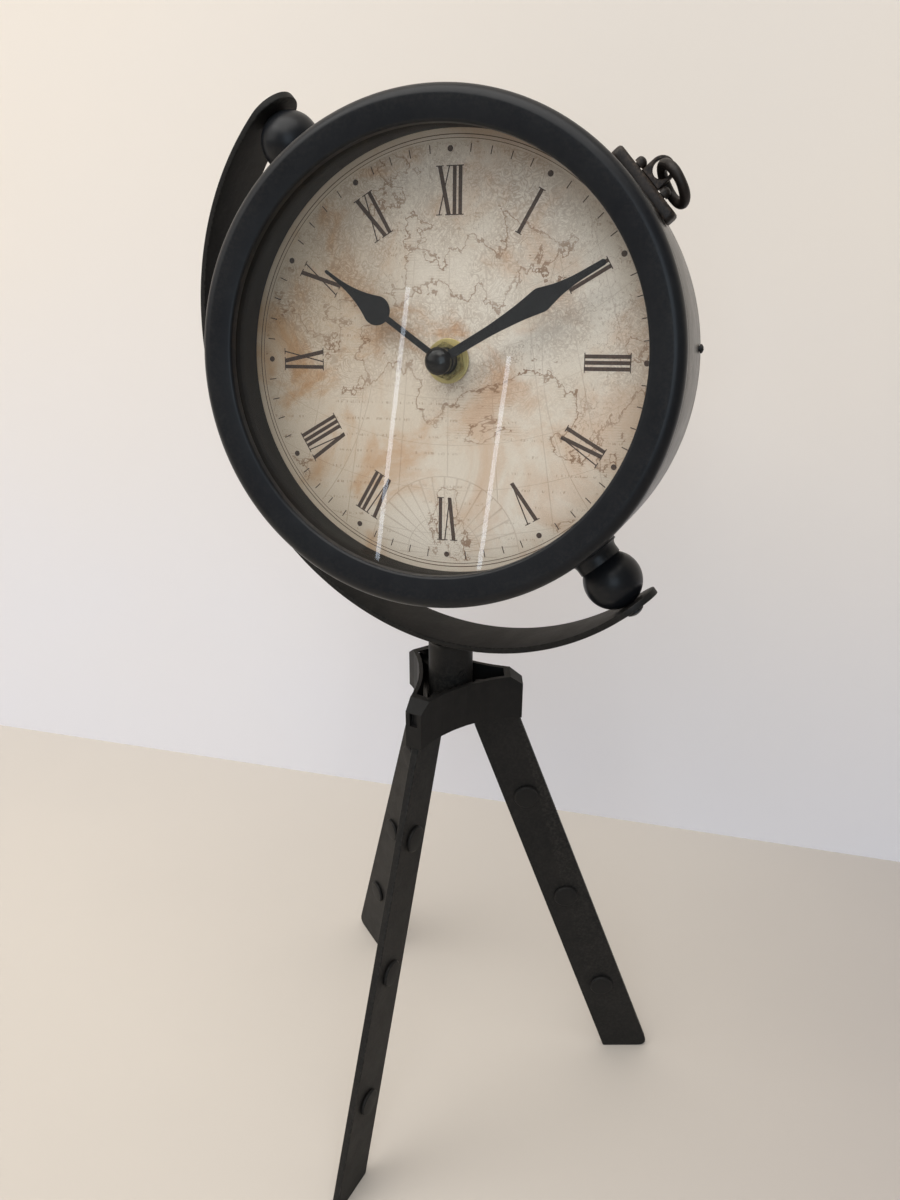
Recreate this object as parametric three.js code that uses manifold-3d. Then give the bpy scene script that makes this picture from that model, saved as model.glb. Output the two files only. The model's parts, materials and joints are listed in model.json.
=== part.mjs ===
// A table clock: a round drum hung on two balls inside a bent strap arm, on a three-legged stand.
// All lengths are in millimetres, +Z is up, the dial looks towards -Y.
import * as THREE from 'three';
import { mergeVertices } from 'three/addons/utils/BufferGeometryUtils.js';
import Module from 'manifold-3d';

const wasm = await Module();
wasm.setup();

// Gaps and cuts that every piece shares
const seatGap = 0.3;
const runningGap = 0.3;
const overrun = 2;
const joinDepth = 0.6;

// Counts of sides and steps on round work
const drumSides = 48;
const knobSides = 24;
const smallSides = 16;
const pinSides = 12;
const hexSides = 6;
const roundSteps = 4;
const armSteps = 44;

// Stand
const legCount = 3;
const stanceTurn = 1.4;
const footReach = 96.4;
const footInner = 74.6;
const footCornerRadius = 5;
const legThickness = 3;
const shoulderLevel = 189;
const shoulderReach = 27.4;
const throatLevel = 185;
const rivetLevel = 41;
const rivetSpacing = 54.2;
const rivetsPerLeg = 3;
const rivetHeadRadius = 5.3;
const rivetHeadHeight = 1.2;
const rivetHeadRound = 0.5;
const rivetShankRadius = 1.8;

// Collar that ties the legs together
const collarReach = 28.4;
const collarWaist = 12.3;
const collarWall = 1.5;
const collarTopLevel = 208.4;
const collarChamferLevel = 204.6;
const collarChamferDepth = 5;
const archRise = 1;
const archHalfWidth = 22;
const slotWidth = 3.2;
const slotHeight = 5.6;

// Hub with its spindle, and the post that turns on it
const hubLevel = 190.6;
const hubTopLevel = 200;
const spindleRadius = 5;
const spindleTopLevel = 218;
const spindleChamfer = 1;
const postRadius = 8.6;
const setScrewRadius = 1.6;
const setScrewLevel = 211.5;
const setScrewAzimuth = -28;
const setScrewProud = 0.3;
const setScrewSocketRadius = 0.9;
const setScrewSocketDepth = 1.2;

// Strap arm, its bend centre set off from the pivot centre towards the arm's middle
const armLevel = 224.97;
const armOffset = 1.2;
const armThickness = 2.2;
const armWidth = 19.4;

// How the clock hangs in the arm
const pivotTurn = 46.16;
const clockTilt = -16.7;
const dialRoll = 4.67;
const dialAhead = 2.95;

// Balls, their feet and the pivot screws
const ballRadius = 10.1;
const ballStandoff = 11.79;
const ballFlatRadius = 3.4;
const footBaseRadius = 9.2;
const footNeckRadius = 7.8;
const footHeight = 5.2;
const footRimHeight = 0.5;
const footFlareHeight = 2;
const pivotRadius = 2;
const pivotHeadRadius = 3;
const pivotHeadHeight = 2;
const pivotSlotWidth = 0.8;
const pivotSlotDepth = 0.8;
const headSideShare = 0.45;
const headBendShare = 0.85;
const headCrownShare = 0.7;
const nutWidth = 7;
const nutThickness = 2.6;

// Drum: depths are counted from the face of the dial, forwards positive
const drumRadius = 80.3;
const shellWall = 1.2;
const bezelFront = 24.9;
const bezelRound = 4;
const bezelShoulder = 18.5;
const bezelFaceWidth = 11;
const bezelLipRound = 1.2;
const bezelFaceDrop = 1.3;
const bezelSkirtWall = 3.8;
const glassFront = 20;
const glassThickness = 2;
const revealWall = 1.6;
const revealPlay = 1.1;
const revealTaper = 1.7;
const dialThickness = 0.5;
const dialPlateThickness = 1.5;
const tabCount = 6;
const tabWidth = 9;
const tabThickness = 0.8;
const tabLength = 2.5;
const shellBack = -23.5;
const coverBack = -27.5;
const coverRound = 3;
const coverWall = 1.2;
const coverSkirtLength = 9;
const windowSize = 66;
const windowCorner = 6;

// Screws that hold the back cover to the shell
const coverScrewCount = 4;
const coverScrewTurn = 86.6;
const coverScrewDepth = -18.6;
const coverScrewRadius = 1;
const coverScrewHeadRadius = 1.5;
const coverScrewHeadHeight = 1.2;
const coverScrewLength = 4;

// Movement, its fixings and what is inside it
const movementCorner = 4;
const movementWall = 1.2;
const movementDepth = 16.5;
const movementSplit = 8.2;
const gasketThickness = 0.8;
const gasketRadius = 7;
const bushRadius = 3.9;
const bushTop = 6.4;
const dialWasherRadius = 7.9;
const dialWasherThickness = 0.8;
const dialNutWidth = 11;
const dialNutThickness = 2.4;
const batteryRadius = 7.2;
const batteryLength = 49.2;
const batteryNubRadius = 2.7;
const batteryNubHeight = 1.2;
const contactThickness = 0.6;
const contactWidth = 9;
const contactSlack = 0.7;
const bayWall = 1;
const boardThickness = 1;
const boardWidth = 13.5;
const boardLength = 32;
const coilRadius = 3.6;
const coilCoreRadius = 2.6;
const coilLength = 15;
const coilFlange = 1;
const coilPlace = 18.5;

// Wheels of the motion work
const toothModule = 0.6;
const cannonTeeth = 10;
const motionTeeth = 30;
const motionPinionTeeth = 8;
const hourTeeth = 32;
const wheelThickness = 1.2;
const wheelGap = 1.2;
const cannonOverhang = 0.3;
const toothThicknessShare = 0.62;
const toothTipShare = 0.45;
const toothRootShare = 1.25;
const toothHeightShare = 0.8;
const spaceShare = 0.5;
const arborRadius = 1.2;
const arborTop = 12;
const hourPipeWall = 0.8;
const motionArborRadius = 0.9;
const pivotDepth = 0.7;
const setKnobRadius = 6.5;
const setKnobHeight = 3.6;
const setKnobRibs = 18;
const setKnobRibDepth = 0.5;
const setKnobSocketDepth = 1.8;

// Hands, set at ten past ten
const minuteAngle = 60.4;
const hourShown = 10;
const handThickness = 0.6;
const hourHandLevel = 7.2;
const minuteHandLevel = 9.3;
const minuteHandMargin = 10;
const hourHandShorter = 9.9;
const hourHubRadius = 4.4;
const minuteHubRadius = 4;
const hourStemWidth = 2;
const hourBulbShare = 0.581;
const hourBulbRadius = 5;
const hourTipWidth = 1.1;
const hourTaperFrom = 60;
const hourTaperShares = [[0.2, 0.62], [0.42, 0.34], [0.7, 0.14]];
const minuteRootWidth = 2.8;
const minuteBellyWidth = 7.6;
const minuteBellyShare = 0.647;
const minuteNeckShare = 0.829;
const minuteTipWidth = 2.5;
const capRadius = 4.5;
const capHeight = 3.2;
const capWall = 0.8;

// Handle on the shoulder of the drum
const handleTurn = 49.3;
const handlePlateLength = 27.8;
const handlePlateWidth = 8;
const handlePlateThickness = 2.8;
const lugWidth = 7.2;
const lugDepth = 2;
const lugHeight = 8.2;
const eyeRadius = 2.8;
const eyeHeight = 7.4;
const ringRadius = 6.4;
const ringBarRadius = 1.5;
const ringSwing = 20;
const ringTwist = 22;
const ringSteps = 20;
const ringBarSides = 8;
const handleScrewPlace = 5.9;
const handleScrewHeadRadius = 1.8;
const handleScrewHeadHeight = 2.6;
const handleScrewRadius = 1.1;

// Sizes that follow from the ones above
const legTopLevel = collarChamferLevel - seatGap;
const shellInner = drumRadius - shellWall;
const skirtOuter = shellInner - seatGap;
const skirtInner = skirtOuter - bezelSkirtWall;
const stackRadius = skirtInner - seatGap;
const bezelLipRadius = drumRadius - bezelFaceWidth;
const revealRadius = stackRadius - revealPlay - revealWall;
const revealFrontRadius = revealRadius - revealTaper;
const minuteHandLength = revealFrontRadius - minuteHandMargin;
const hourHandLength = minuteHandLength - hourHandShorter;
const dialPlateFront = -dialThickness - seatGap;
const dialPlateBack = dialPlateFront - dialPlateThickness;
const tabFront = dialPlateBack - seatGap;
const skirtBack = tabFront - tabThickness;
const gasketFront = dialPlateBack - seatGap;
const frameFront = gasketFront - gasketThickness - seatGap;
const frameFloor = frameFront - movementWall;
const coverSplit = frameFront - movementSplit;
const movementBack = frameFront - movementDepth;
const bushHole = bushRadius + seatGap;
const hourPipeBore = arborRadius + runningGap;
const hourPipeRadius = hourPipeBore + hourPipeWall;
const bushBore = hourPipeRadius + runningGap;
const wheelDistance = toothModule * (cannonTeeth + motionTeeth) / 2;
const hourWheelFront = frameFloor - wheelGap;
const hourWheelBack = hourWheelFront - wheelThickness;
const motionWheelFront = hourWheelBack - wheelGap;
const motionWheelBack = motionWheelFront - wheelThickness;
const coverFloor = movementBack + movementWall;
const contactSpace = contactSlack + contactThickness + seatGap;
const movementSize = batteryLength + batteryNubHeight + 2 * (contactSpace + movementWall);
const batteryDrop = movementSize / 2 - movementWall - seatGap - batteryRadius;
const batteryDepth = (frameFloor + movementBack) / 2;
const bayTop = -batteryDrop + batteryRadius + seatGap;
const ballFlatHeight = Math.sqrt(ballRadius * ballRadius - ballFlatRadius * ballFlatRadius);
const ballDistance = drumRadius + ballStandoff;
const armInnerRadius = ballDistance + ballFlatHeight + seatGap;
const armRadius = armInnerRadius + armThickness;
const pivotHeight = armLevel + armRadius + armOffset * Math.cos(THREE.MathUtils.degToRad(pivotTurn));
const pivotNutTop = shellInner - seatGap - nutWidth * nutWidth / (2 * shellInner);
const hubRadius = postRadius + 2 * seatGap;
const collarSlotHalf = legThickness / 2 + seatGap;
const collarCornerHalf = collarSlotHalf + collarWall;

// Shape tools

function radians(degrees) {
  return THREE.MathUtils.degToRad(degrees);
}

function point(x, y) {
  return new THREE.Vector2(x, y);
}

// Points of an arc in the outline plane, both ends kept
function arc(centreX, centreY, radius, fromDegrees, toDegrees, steps) {
  const points = [];
  for (let i = 0; i <= steps; i += 1) {
    const angle = radians(fromDegrees + (toDegrees - fromDegrees) * i / steps);
    points.push(point(centreX + radius * Math.cos(angle), centreY + radius * Math.sin(angle)));
  }
  return points;
}

// A turned piece about the Z axis from an outline of radius and height
function turned(outline, sides) {
  return new THREE.LatheGeometry(outline, sides).rotateX(Math.PI / 2);
}

// A turned ring: the outline is closed on itself
function turnedRing(outline, sides) {
  return turned([...outline, outline[0].clone()], sides);
}

// A flat ring or washer between two heights
function washer(inner, outer, low, high, sides) {
  return turnedRing([point(inner, low), point(outer, low), point(outer, high), point(inner, high)], sides);
}

// A round bar along Z
function rod(radius, low, high, sides) {
  return turned([point(0, low), point(radius, low), point(radius, high), point(0, high)], sides);
}

// A box given by its limits
function block(lowX, highX, lowY, highY, lowZ, highZ) {
  const box = new THREE.BoxGeometry(highX - lowX, highY - lowY, highZ - lowZ);
  return box.translate((lowX + highX) / 2, (lowY + highY) / 2, (lowZ + highZ) / 2);
}

// A plate: an outline given a thickness between two heights
function plate(shape, low, high) {
  const settings = { depth: high - low, bevelEnabled: false };
  return new THREE.ExtrudeGeometry(shape, settings).translate(0, 0, low);
}

function outlineShape(points) {
  return new THREE.Shape(points);
}

// A rectangle with round corners, centred
function roundedRectangle(width, height, corner) {
  const x = width / 2 - corner;
  const y = height / 2 - corner;
  return outlineShape([
    ...arc(x, y, corner, 0, 90, roundSteps),
    ...arc(-x, y, corner, 90, 180, roundSteps),
    ...arc(-x, -y, corner, 180, 270, roundSteps),
    ...arc(x, -y, corner, 270, 360, roundSteps),
  ]);
}

// A six-sided bar or nut blank along Z, by its width across flats
function hexagon(width, low, high) {
  return rod(width / 2 / Math.cos(Math.PI / hexSides), low, high, hexSides);
}

// A small screw with a domed head, its head seated at the given height along Z
function domedScrew(radius, headRadius, headHeight, low, seat) {
  return turned([
    point(0, low),
    point(radius, low),
    point(radius, seat),
    point(headRadius, seat),
    point(headRadius, seat + headHeight * headSideShare),
    point(headRadius * headCrownShare, seat + headHeight * headBendShare),
    point(0, seat + headHeight),
  ], pinSides);
}

// Turns a geometry into a solid that can be cut and joined
function solid(geometry) {
  const bare = geometry.clone();
  bare.deleteAttribute('normal');
  bare.deleteAttribute('uv');
  const merged = mergeVertices(bare);
  const index = merged.index.array;
  const kept = [];
  for (let i = 0; i < index.length; i += 3) {
    const [a, b, c] = [index[i], index[i + 1], index[i + 2]];
    if (a !== b && b !== c && c !== a) kept.push(a, b, c);
  }
  const vertProperties = Float32Array.from(merged.attributes.position.array);
  return new wasm.Manifold(new wasm.Mesh({ numProp: 3, vertProperties, triVerts: Uint32Array.from(kept) }));
}

// Turns a solid back into a geometry
function geometryOf(body) {
  const mesh = body.getMesh();
  const geometry = new THREE.BufferGeometry();
  geometry.setAttribute('position', new THREE.BufferAttribute(mesh.vertProperties, 3));
  geometry.setIndex(new THREE.BufferAttribute(mesh.triVerts, 1));
  geometry.computeVertexNormals();
  return geometry;
}

function cut(base, ...tools) {
  let body = solid(base);
  for (const tool of tools) body = body.subtract(solid(tool));
  return geometryOf(body);
}

function join(base, ...others) {
  let body = solid(base);
  for (const other of others) body = body.add(solid(other));
  return geometryOf(body);
}

// Copies of a geometry turned about Z in equal steps
function around(count, startDegrees, make) {
  const copies = [];
  for (let i = 0; i < count; i += 1) {
    copies.push(make(i).rotateZ(radians(startDegrees) + i * 2 * Math.PI / count));
  }
  return copies;
}

// Finishes

const finish = {
  blackPaint: { color: 0x24211f, roughness: 0.42, metalness: 0.35 },
  glossShell: { color: 0x3a3836, roughness: 0.16, metalness: 0.85 },
  castBrown: { color: 0x2e2723, roughness: 0.5, metalness: 0.4 },
  paper: { color: 0xcdbfa9, roughness: 0.85, metalness: 0 },
  glass: { color: 0xe8eef0, roughness: 0.03, metalness: 0, transparent: true, opacity: 0.25 },
  brass: { color: 0xa58d50, roughness: 0.3, metalness: 0.9 },
  handBlack: { color: 0x1d1f22, roughness: 0.5, metalness: 0.2 },
  capBlack: { color: 0x101012, roughness: 0.12, metalness: 0.1 },
  steel: { color: 0x9a9a98, roughness: 0.35, metalness: 0.9 },
  blackPlastic: { color: 0x1a1a1b, roughness: 0.55, metalness: 0 },
  whitePlastic: { color: 0xd8d5cc, roughness: 0.5, metalness: 0 },
  batteryGreen: { color: 0x3f5a46, roughness: 0.4, metalness: 0.1 },
  rubber: { color: 0x222222, roughness: 0.9, metalness: 0 },
  copper: { color: 0x9c5a33, roughness: 0.35, metalness: 0.7 },
  board: { color: 0x2f4a35, roughness: 0.6, metalness: 0 },
};

function piece(name, geometry, finishName) {
  const mesh = new THREE.Mesh(geometry, new THREE.MeshStandardMaterial(finish[finishName]));
  mesh.name = name;
  return mesh;
}

// Stand

function legCentreline(level) {
  const outer = THREE.MathUtils.lerp(footReach, shoulderReach, level / shoulderLevel);
  const inner = THREE.MathUtils.lerp(footInner, hubRadius + seatGap, level / throatLevel);
  return (outer + inner) / 2;
}

// A flat bar cut level at the foot, with a shoulder that the collar sits on
function legGeometry() {
  const topReach = collarReach - collarWall - seatGap;
  const innerReach = hubRadius + seatGap;
  const outline = outlineShape([
    point(footInner, 0),
    ...arc(footReach - footCornerRadius, footCornerRadius, footCornerRadius, -90, 0, roundSteps),
    point(shoulderReach, shoulderLevel),
    point(topReach, shoulderLevel),
    point(topReach, legTopLevel),
    point(innerReach, legTopLevel),
    point(innerReach, throatLevel),
  ]);
  const half = legThickness / 2;
  const bar = plate(outline, -half, half).rotateX(Math.PI / 2);
  const holes = [];
  for (let i = 0; i < rivetsPerLeg; i += 1) {
    const level = rivetLevel + i * rivetSpacing;
    const hole = rod(rivetShankRadius + seatGap, -half - overrun, half + overrun, pinSides);
    holes.push(hole.rotateX(Math.PI / 2).translate(legCentreline(level), 0, level));
  }
  return cut(bar, ...holes);
}

// One rivet with a low round head on each side of the leg
function rivetGeometry() {
  const seat = legThickness / 2 + seatGap;
  const top = seat + rivetHeadHeight;
  const edge = rivetHeadRadius - rivetHeadRound;
  const half = [
    point(rivetShankRadius, seat),
    point(rivetHeadRadius, seat),
    point(rivetHeadRadius, top - rivetHeadRound),
    point(edge, top),
    point(0, top),
  ];
  const mirrored = half.map((p) => point(p.x, -p.y)).reverse();
  return turned([...mirrored, ...half], pinSides).rotateX(Math.PI / 2);
}

// Three-cornered outline of the collar, its sides bowed inwards to the waist
function collarOutline(reach, cornerHalf, waist) {
  const turn = Math.PI / legCount;
  const face = reach * Math.cos(turn) + cornerHalf * Math.sin(turn);
  const chordHalf = reach * Math.sin(turn) - cornerHalf * Math.cos(turn);
  const bow = face - waist;
  const radius = (chordHalf * chordHalf + bow * bow) / (2 * bow);
  const sweep = THREE.MathUtils.radToDeg(Math.asin(chordHalf / radius));
  const points = [];
  for (let i = 0; i < legCount; i += 1) {
    const side = arc(waist + radius, 0, radius, 180 + sweep, 180 - sweep, 2 * roundSteps);
    points.push(...side.map((p) => p.rotateAround(point(0, 0), (2 * i + 1) * turn)));
  }
  return outlineShape(points);
}

// Wedge that slopes the top of each corner inwards, set in by the given wall
function collarWedge(inset) {
  const slope = Math.atan2(collarChamferDepth, collarTopLevel - collarChamferLevel);
  const side = 2 * collarReach;
  const wedge = block(-inset, side, -side, side, -side, side).rotateY(-slope);
  return wedge.translate(collarReach, 0, collarChamferLevel);
}

function collarGeometry() {
  const bottom = shoulderLevel + seatGap;
  const outer = cut(
    plate(collarOutline(collarReach, collarCornerHalf, collarWaist), bottom, collarTopLevel),
    ...around(legCount, 0, () => collarWedge(0)),
  );
  const inside = collarOutline(collarReach - collarWall, collarSlotHalf, collarWaist - collarWall);
  const hollow = cut(
    plate(inside, bottom - overrun, collarTopLevel + overrun),
    ...around(legCount, 0, () => collarWedge(collarWall)),
  );
  const arches = around(legCount, 180 / legCount, () => {
    const tool = rod(archHalfWidth, 0, collarReach, drumSides);
    return tool.rotateY(Math.PI / 2).scale(1, 1, archRise / archHalfWidth).translate(0, 0, bottom);
  });
  const slotTop = collarChamferLevel - seatGap;
  const slots = around(legCount, 0, () => block(
    collarReach - collarWall - overrun, collarReach + overrun,
    -slotWidth / 2, slotWidth / 2, slotTop - slotHeight, slotTop,
  ));
  return cut(outer, hollow, ...arches, ...slots);
}

// Turned hub between the legs, with the spindle that the post turns on
function hubGeometry() {
  return turned([
    point(0, hubLevel),
    point(hubRadius, hubLevel),
    point(hubRadius, hubTopLevel),
    point(spindleRadius, hubTopLevel),
    point(spindleRadius, spindleTopLevel - spindleChamfer),
    point(spindleRadius - spindleChamfer, spindleTopLevel),
    point(0, spindleTopLevel),
  ], knobSides);
}

function makeStand() {
  const stand = new THREE.Group();
  stand.rotation.z = Math.PI / 2 / legCount + radians(stanceTurn);
  const legNames = ['right', 'left', 'front'];
  for (let i = 0; i < legCount; i += 1) {
    const leg = new THREE.Group();
    leg.rotation.z = i * 2 * Math.PI / legCount;
    leg.add(piece(`leg_${legNames[i]}`, legGeometry(), 'blackPaint'));
    for (let j = 0; j < rivetsPerLeg; j += 1) {
      const rivet = piece(`leg_rivet_${legNames[i]}_${j + 1}`, rivetGeometry(), 'blackPaint');
      const level = rivetLevel + j * rivetSpacing;
      rivet.position.set(legCentreline(level), 0, level);
      leg.add(rivet);
    }
    stand.add(leg);
  }
  stand.add(piece('collar', collarGeometry(), 'blackPaint'));
  stand.add(piece('hub_spindle', hubGeometry(), 'steel'));
  return stand;
}

// Head: arm, post and set screw

// Strap bent to a half circle with flat ends, each rounded about its pivot.
// The outline has X towards the arm's middle and Y along the pivot axis.
function armGeometry() {
  const half = armWidth / 2;
  const band = outlineShape([
    point(0, -armRadius),
    ...arc(armOffset, 0, armRadius, -90, 90, armSteps),
    point(0, armRadius),
    point(0, armInnerRadius),
    ...arc(armOffset, 0, armInnerRadius, 90, -90, armSteps),
    point(0, -armInnerRadius),
  ]);
  const ends = [-1, 1].map((side) => rod(
    half, armInnerRadius, armRadius, knobSides,
  ).rotateX(side * Math.PI / 2));
  const drills = [-1, 1].map((side) => rod(
    pivotRadius + runningGap, armInnerRadius - overrun, armRadius + overrun, pinSides,
  ).rotateX(side * Math.PI / 2));
  const strap = cut(join(plate(band, -half, half), ...ends), ...drills);
  return strap.rotateX(Math.PI / 2).rotateY(radians(90 + pivotTurn)).translate(0, 0, pivotHeight);
}

// Where the arm's bend has its centre
function armCentre() {
  const towardsMiddle = radians(90 + pivotTurn);
  return new THREE.Vector3(
    -armOffset * Math.sin(radians(pivotTurn)), 0, pivotHeight - armOffset * Math.sin(towardsMiddle),
  );
}

function setScrewDrill(radius, from, to, sides) {
  const drill = rod(radius, from, to, sides).rotateY(Math.PI / 2);
  return drill.rotateZ(radians(setScrewAzimuth)).translate(0, 0, setScrewLevel);
}

function postGeometry() {
  const bore = spindleRadius + runningGap;
  const tube = washer(bore, postRadius, hubTopLevel + seatGap, pivotHeight - armInnerRadius, knobSides);
  const armShape = rod(armRadius + seatGap, -armWidth, armWidth, 3 * drumSides).rotateX(Math.PI / 2);
  const threaded = setScrewDrill(setScrewRadius + seatGap, bore - overrun, postRadius + overrun, pinSides);
  const centre = armCentre();
  return cut(tube, armShape.translate(centre.x, centre.y, centre.z), threaded);
}

function setScrewGeometry() {
  const tip = spindleRadius + seatGap;
  const face = postRadius + setScrewProud;
  const screw = setScrewDrill(setScrewRadius, tip, face, pinSides);
  const socketFloor = face - setScrewSocketDepth;
  return cut(screw, setScrewDrill(setScrewSocketRadius, socketFloor, face + overrun, hexSides));
}

function makeHead() {
  const head = new THREE.Group();
  head.add(piece('arm', armGeometry(), 'blackPaint'));
  head.add(piece('post', postGeometry(), 'blackPaint'));
  head.add(piece('post_set_screw', setScrewGeometry(), 'steel'));
  return head;
}

// Pivots: pieces along the ball axis, outwards along +Z of their own group

// Ball with a flat on each side and a bore for the pivot screw
function ballGeometry() {
  const edge = THREE.MathUtils.radToDeg(Math.asin(ballFlatRadius / ballRadius));
  const ball = turned([
    point(0, -ballFlatHeight),
    ...arc(0, 0, ballRadius, edge - 90, 90 - edge, 2 * roundSteps),
    point(0, ballFlatHeight),
  ], knobSides);
  const bore = rod(pivotRadius + seatGap, -ballRadius, ballRadius, pinSides);
  return cut(ball, bore).translate(0, 0, ballDistance);
}

// Flared foot that saddles on the drum and cups the ball
function ballFootGeometry() {
  const base = drumRadius - footBaseRadius * footBaseRadius / drumRadius;
  const rim = drumRadius + footRimHeight;
  const top = drumRadius + footHeight;
  const flare = arc(0, 0, 1, -90, -180, roundSteps).map((p) => point(
    footBaseRadius + (footBaseRadius - footNeckRadius) * p.x,
    rim + footFlareHeight * (1 + p.y),
  ));
  const body = turned([
    point(0, base),
    point(footBaseRadius, base),
    ...flare,
    point(footNeckRadius, top),
    point(0, top),
  ], knobSides);
  const half = footBaseRadius + overrun;
  const drum = rod(drumRadius + seatGap, -half, half, 2 * drumSides).rotateX(Math.PI / 2);
  const cup = new THREE.SphereGeometry(ballRadius + seatGap, knobSides, smallSides);
  const bore = rod(pivotRadius + seatGap, base - overrun, top + overrun, pinSides);
  return cut(body, drum, cup.translate(0, 0, ballDistance), bore);
}

function pivotScrewGeometry() {
  const seat = armRadius + seatGap;
  const end = pivotNutTop - nutThickness - seatGap;
  const screw = domedScrew(pivotRadius, pivotHeadRadius, pivotHeadHeight, end, seat);
  const top = seat + pivotHeadHeight;
  const slot = block(
    -pivotHeadRadius, pivotHeadRadius, -pivotSlotWidth / 2, pivotSlotWidth / 2,
    top - pivotSlotDepth, top + overrun,
  );
  return cut(screw, slot);
}

function pivotNutGeometry() {
  const low = pivotNutTop - nutThickness;
  const blank = hexagon(nutWidth, low, pivotNutTop);
  return cut(blank, rod(pivotRadius + seatGap, low - overrun, pivotNutTop + overrun, pinSides));
}

function makePivots() {
  const pivots = new THREE.Group();
  ['lower', 'upper'].forEach((name, side) => {
    const axis = new THREE.Group();
    axis.rotation.y = Math.PI / 2 + radians(pivotTurn) + side * Math.PI;
    axis.add(piece(`ball_${name}`, ballGeometry(), 'blackPaint'));
    axis.add(piece(`ball_foot_${name}`, ballFootGeometry(), 'blackPaint'));
    axis.add(piece(`pivot_screw_${name}`, pivotScrewGeometry(), 'blackPaint'));
    axis.add(piece(`pivot_nut_${name}`, pivotNutGeometry(), 'steel'));
    pivots.add(axis);
  });
  return pivots;
}

// Drum: X to three o'clock, Y to twelve, Z out of the dial, heights counted from the dial's face

// A drill through the drum's wall for each pivot screw
function pivotDrills(radius) {
  const along = radians(-pivotTurn - dialRoll);
  return [0, 1].map((side) => {
    const drill = rod(radius, skirtInner - overrun, drumRadius + overrun, pinSides).rotateY(Math.PI / 2);
    return drill.rotateZ(along + side * Math.PI).translate(0, 0, -dialAhead);
  });
}

function bezelGeometry() {
  const front = bezelFront;
  const faceEdge = bezelLipRadius + bezelLipRound;
  const lipTop = front - bezelFaceDrop - bezelLipRound;
  const seat = glassFront + seatGap;
  const ring = turnedRing([
    point(skirtInner, skirtBack),
    point(skirtOuter, skirtBack),
    point(skirtOuter, bezelShoulder),
    point(drumRadius, bezelShoulder),
    ...arc(drumRadius - bezelRound, front - bezelRound, bezelRound, 0, 90, roundSteps),
    ...arc(faceEdge, lipTop, bezelLipRound, 90, 180, roundSteps / 2),
    point(bezelLipRadius, seat),
    point(skirtInner, seat),
  ], drumSides);
  const tabs = around(tabCount, 0, () => block(
    skirtInner - tabLength, skirtInner + joinDepth, -tabWidth / 2, tabWidth / 2, skirtBack, tabFront,
  ));
  const notch = pivotDrills(nutWidth);
  return cut(join(ring, ...tabs), ...notch);
}

function glassGeometry() {
  return rod(stackRadius, glassFront - glassThickness, glassFront, drumSides);
}

// Tapered black wall between the dial and the glass
function revealGeometry() {
  const top = glassFront - glassThickness - seatGap;
  return turnedRing([
    point(revealRadius, seatGap),
    point(revealRadius + revealWall, seatGap),
    point(revealRadius + revealWall, top),
    point(revealFrontRadius, top),
  ], drumSides);
}

function dialFaceGeometry() {
  return washer(bushHole, stackRadius, -dialThickness, 0, drumSides);
}

function dialPlateGeometry() {
  return washer(bushHole, stackRadius, dialPlateBack, dialPlateFront, drumSides);
}

function coverScrewDrill(turn, radius, from, to, sides) {
  const drill = rod(radius, from, to, sides).rotateY(Math.PI / 2);
  return drill.rotateZ(radians(90 - turn)).translate(0, 0, coverScrewDepth);
}

function coverScrewTurns() {
  return Array.from({ length: coverScrewCount }, (_, i) => coverScrewTurn + i * 360 / coverScrewCount);
}

function handleScrewDrill(side, radius, from, to, sides) {
  const drill = rod(radius, from, to, sides).rotateY(Math.PI / 2);
  return drill.translate(0, side * handleScrewPlace, -dialAhead).rotateZ(radians(90 - handleTurn));
}

function shellGeometry() {
  const tube = washer(shellInner, drumRadius, shellBack, bezelShoulder - seatGap, drumSides);
  const reach = drumRadius + overrun;
  const screwHoles = coverScrewTurns().map((turn) => coverScrewDrill(
    turn, coverScrewRadius + seatGap, shellInner - overrun, reach, pinSides,
  ));
  const handleHoles = [-1, 1].map((side) => handleScrewDrill(
    side, handleScrewRadius + seatGap, shellInner - overrun, reach, pinSides,
  ));
  return cut(tube, ...screwHoles, ...handleHoles, ...pivotDrills(pivotRadius + seatGap));
}

// Pressed back cover with a skirt inside the shell and a window for the movement
function backCoverGeometry() {
  const top = shellBack + coverSkirtLength;
  const edge = shellBack - seatGap;
  const pan = turned([
    point(0, coverBack),
    ...arc(drumRadius - coverRound, coverBack + coverRound, coverRound, -90, 0, roundSteps),
    point(drumRadius, edge),
    point(skirtOuter, edge),
    point(skirtOuter, top),
    point(skirtOuter - coverWall, top),
    point(skirtOuter - coverWall, coverBack + coverWall),
    point(0, coverBack + coverWall),
  ], drumSides);
  const window = plate(roundedRectangle(windowSize, windowSize, windowCorner), coverBack - overrun, top);
  const holes = coverScrewTurns().map((turn) => coverScrewDrill(
    turn, coverScrewRadius + seatGap, skirtOuter - coverWall - overrun, drumRadius, pinSides,
  ));
  return cut(pan, window, ...holes);
}

function coverScrewGeometry(turn) {
  const seat = drumRadius + seatGap;
  const screw = domedScrew(
    coverScrewRadius, coverScrewHeadRadius, coverScrewHeadHeight, seat - coverScrewLength, seat,
  );
  return screw.rotateY(Math.PI / 2).rotateZ(radians(90 - turn)).translate(0, 0, coverScrewDepth);
}

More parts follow.
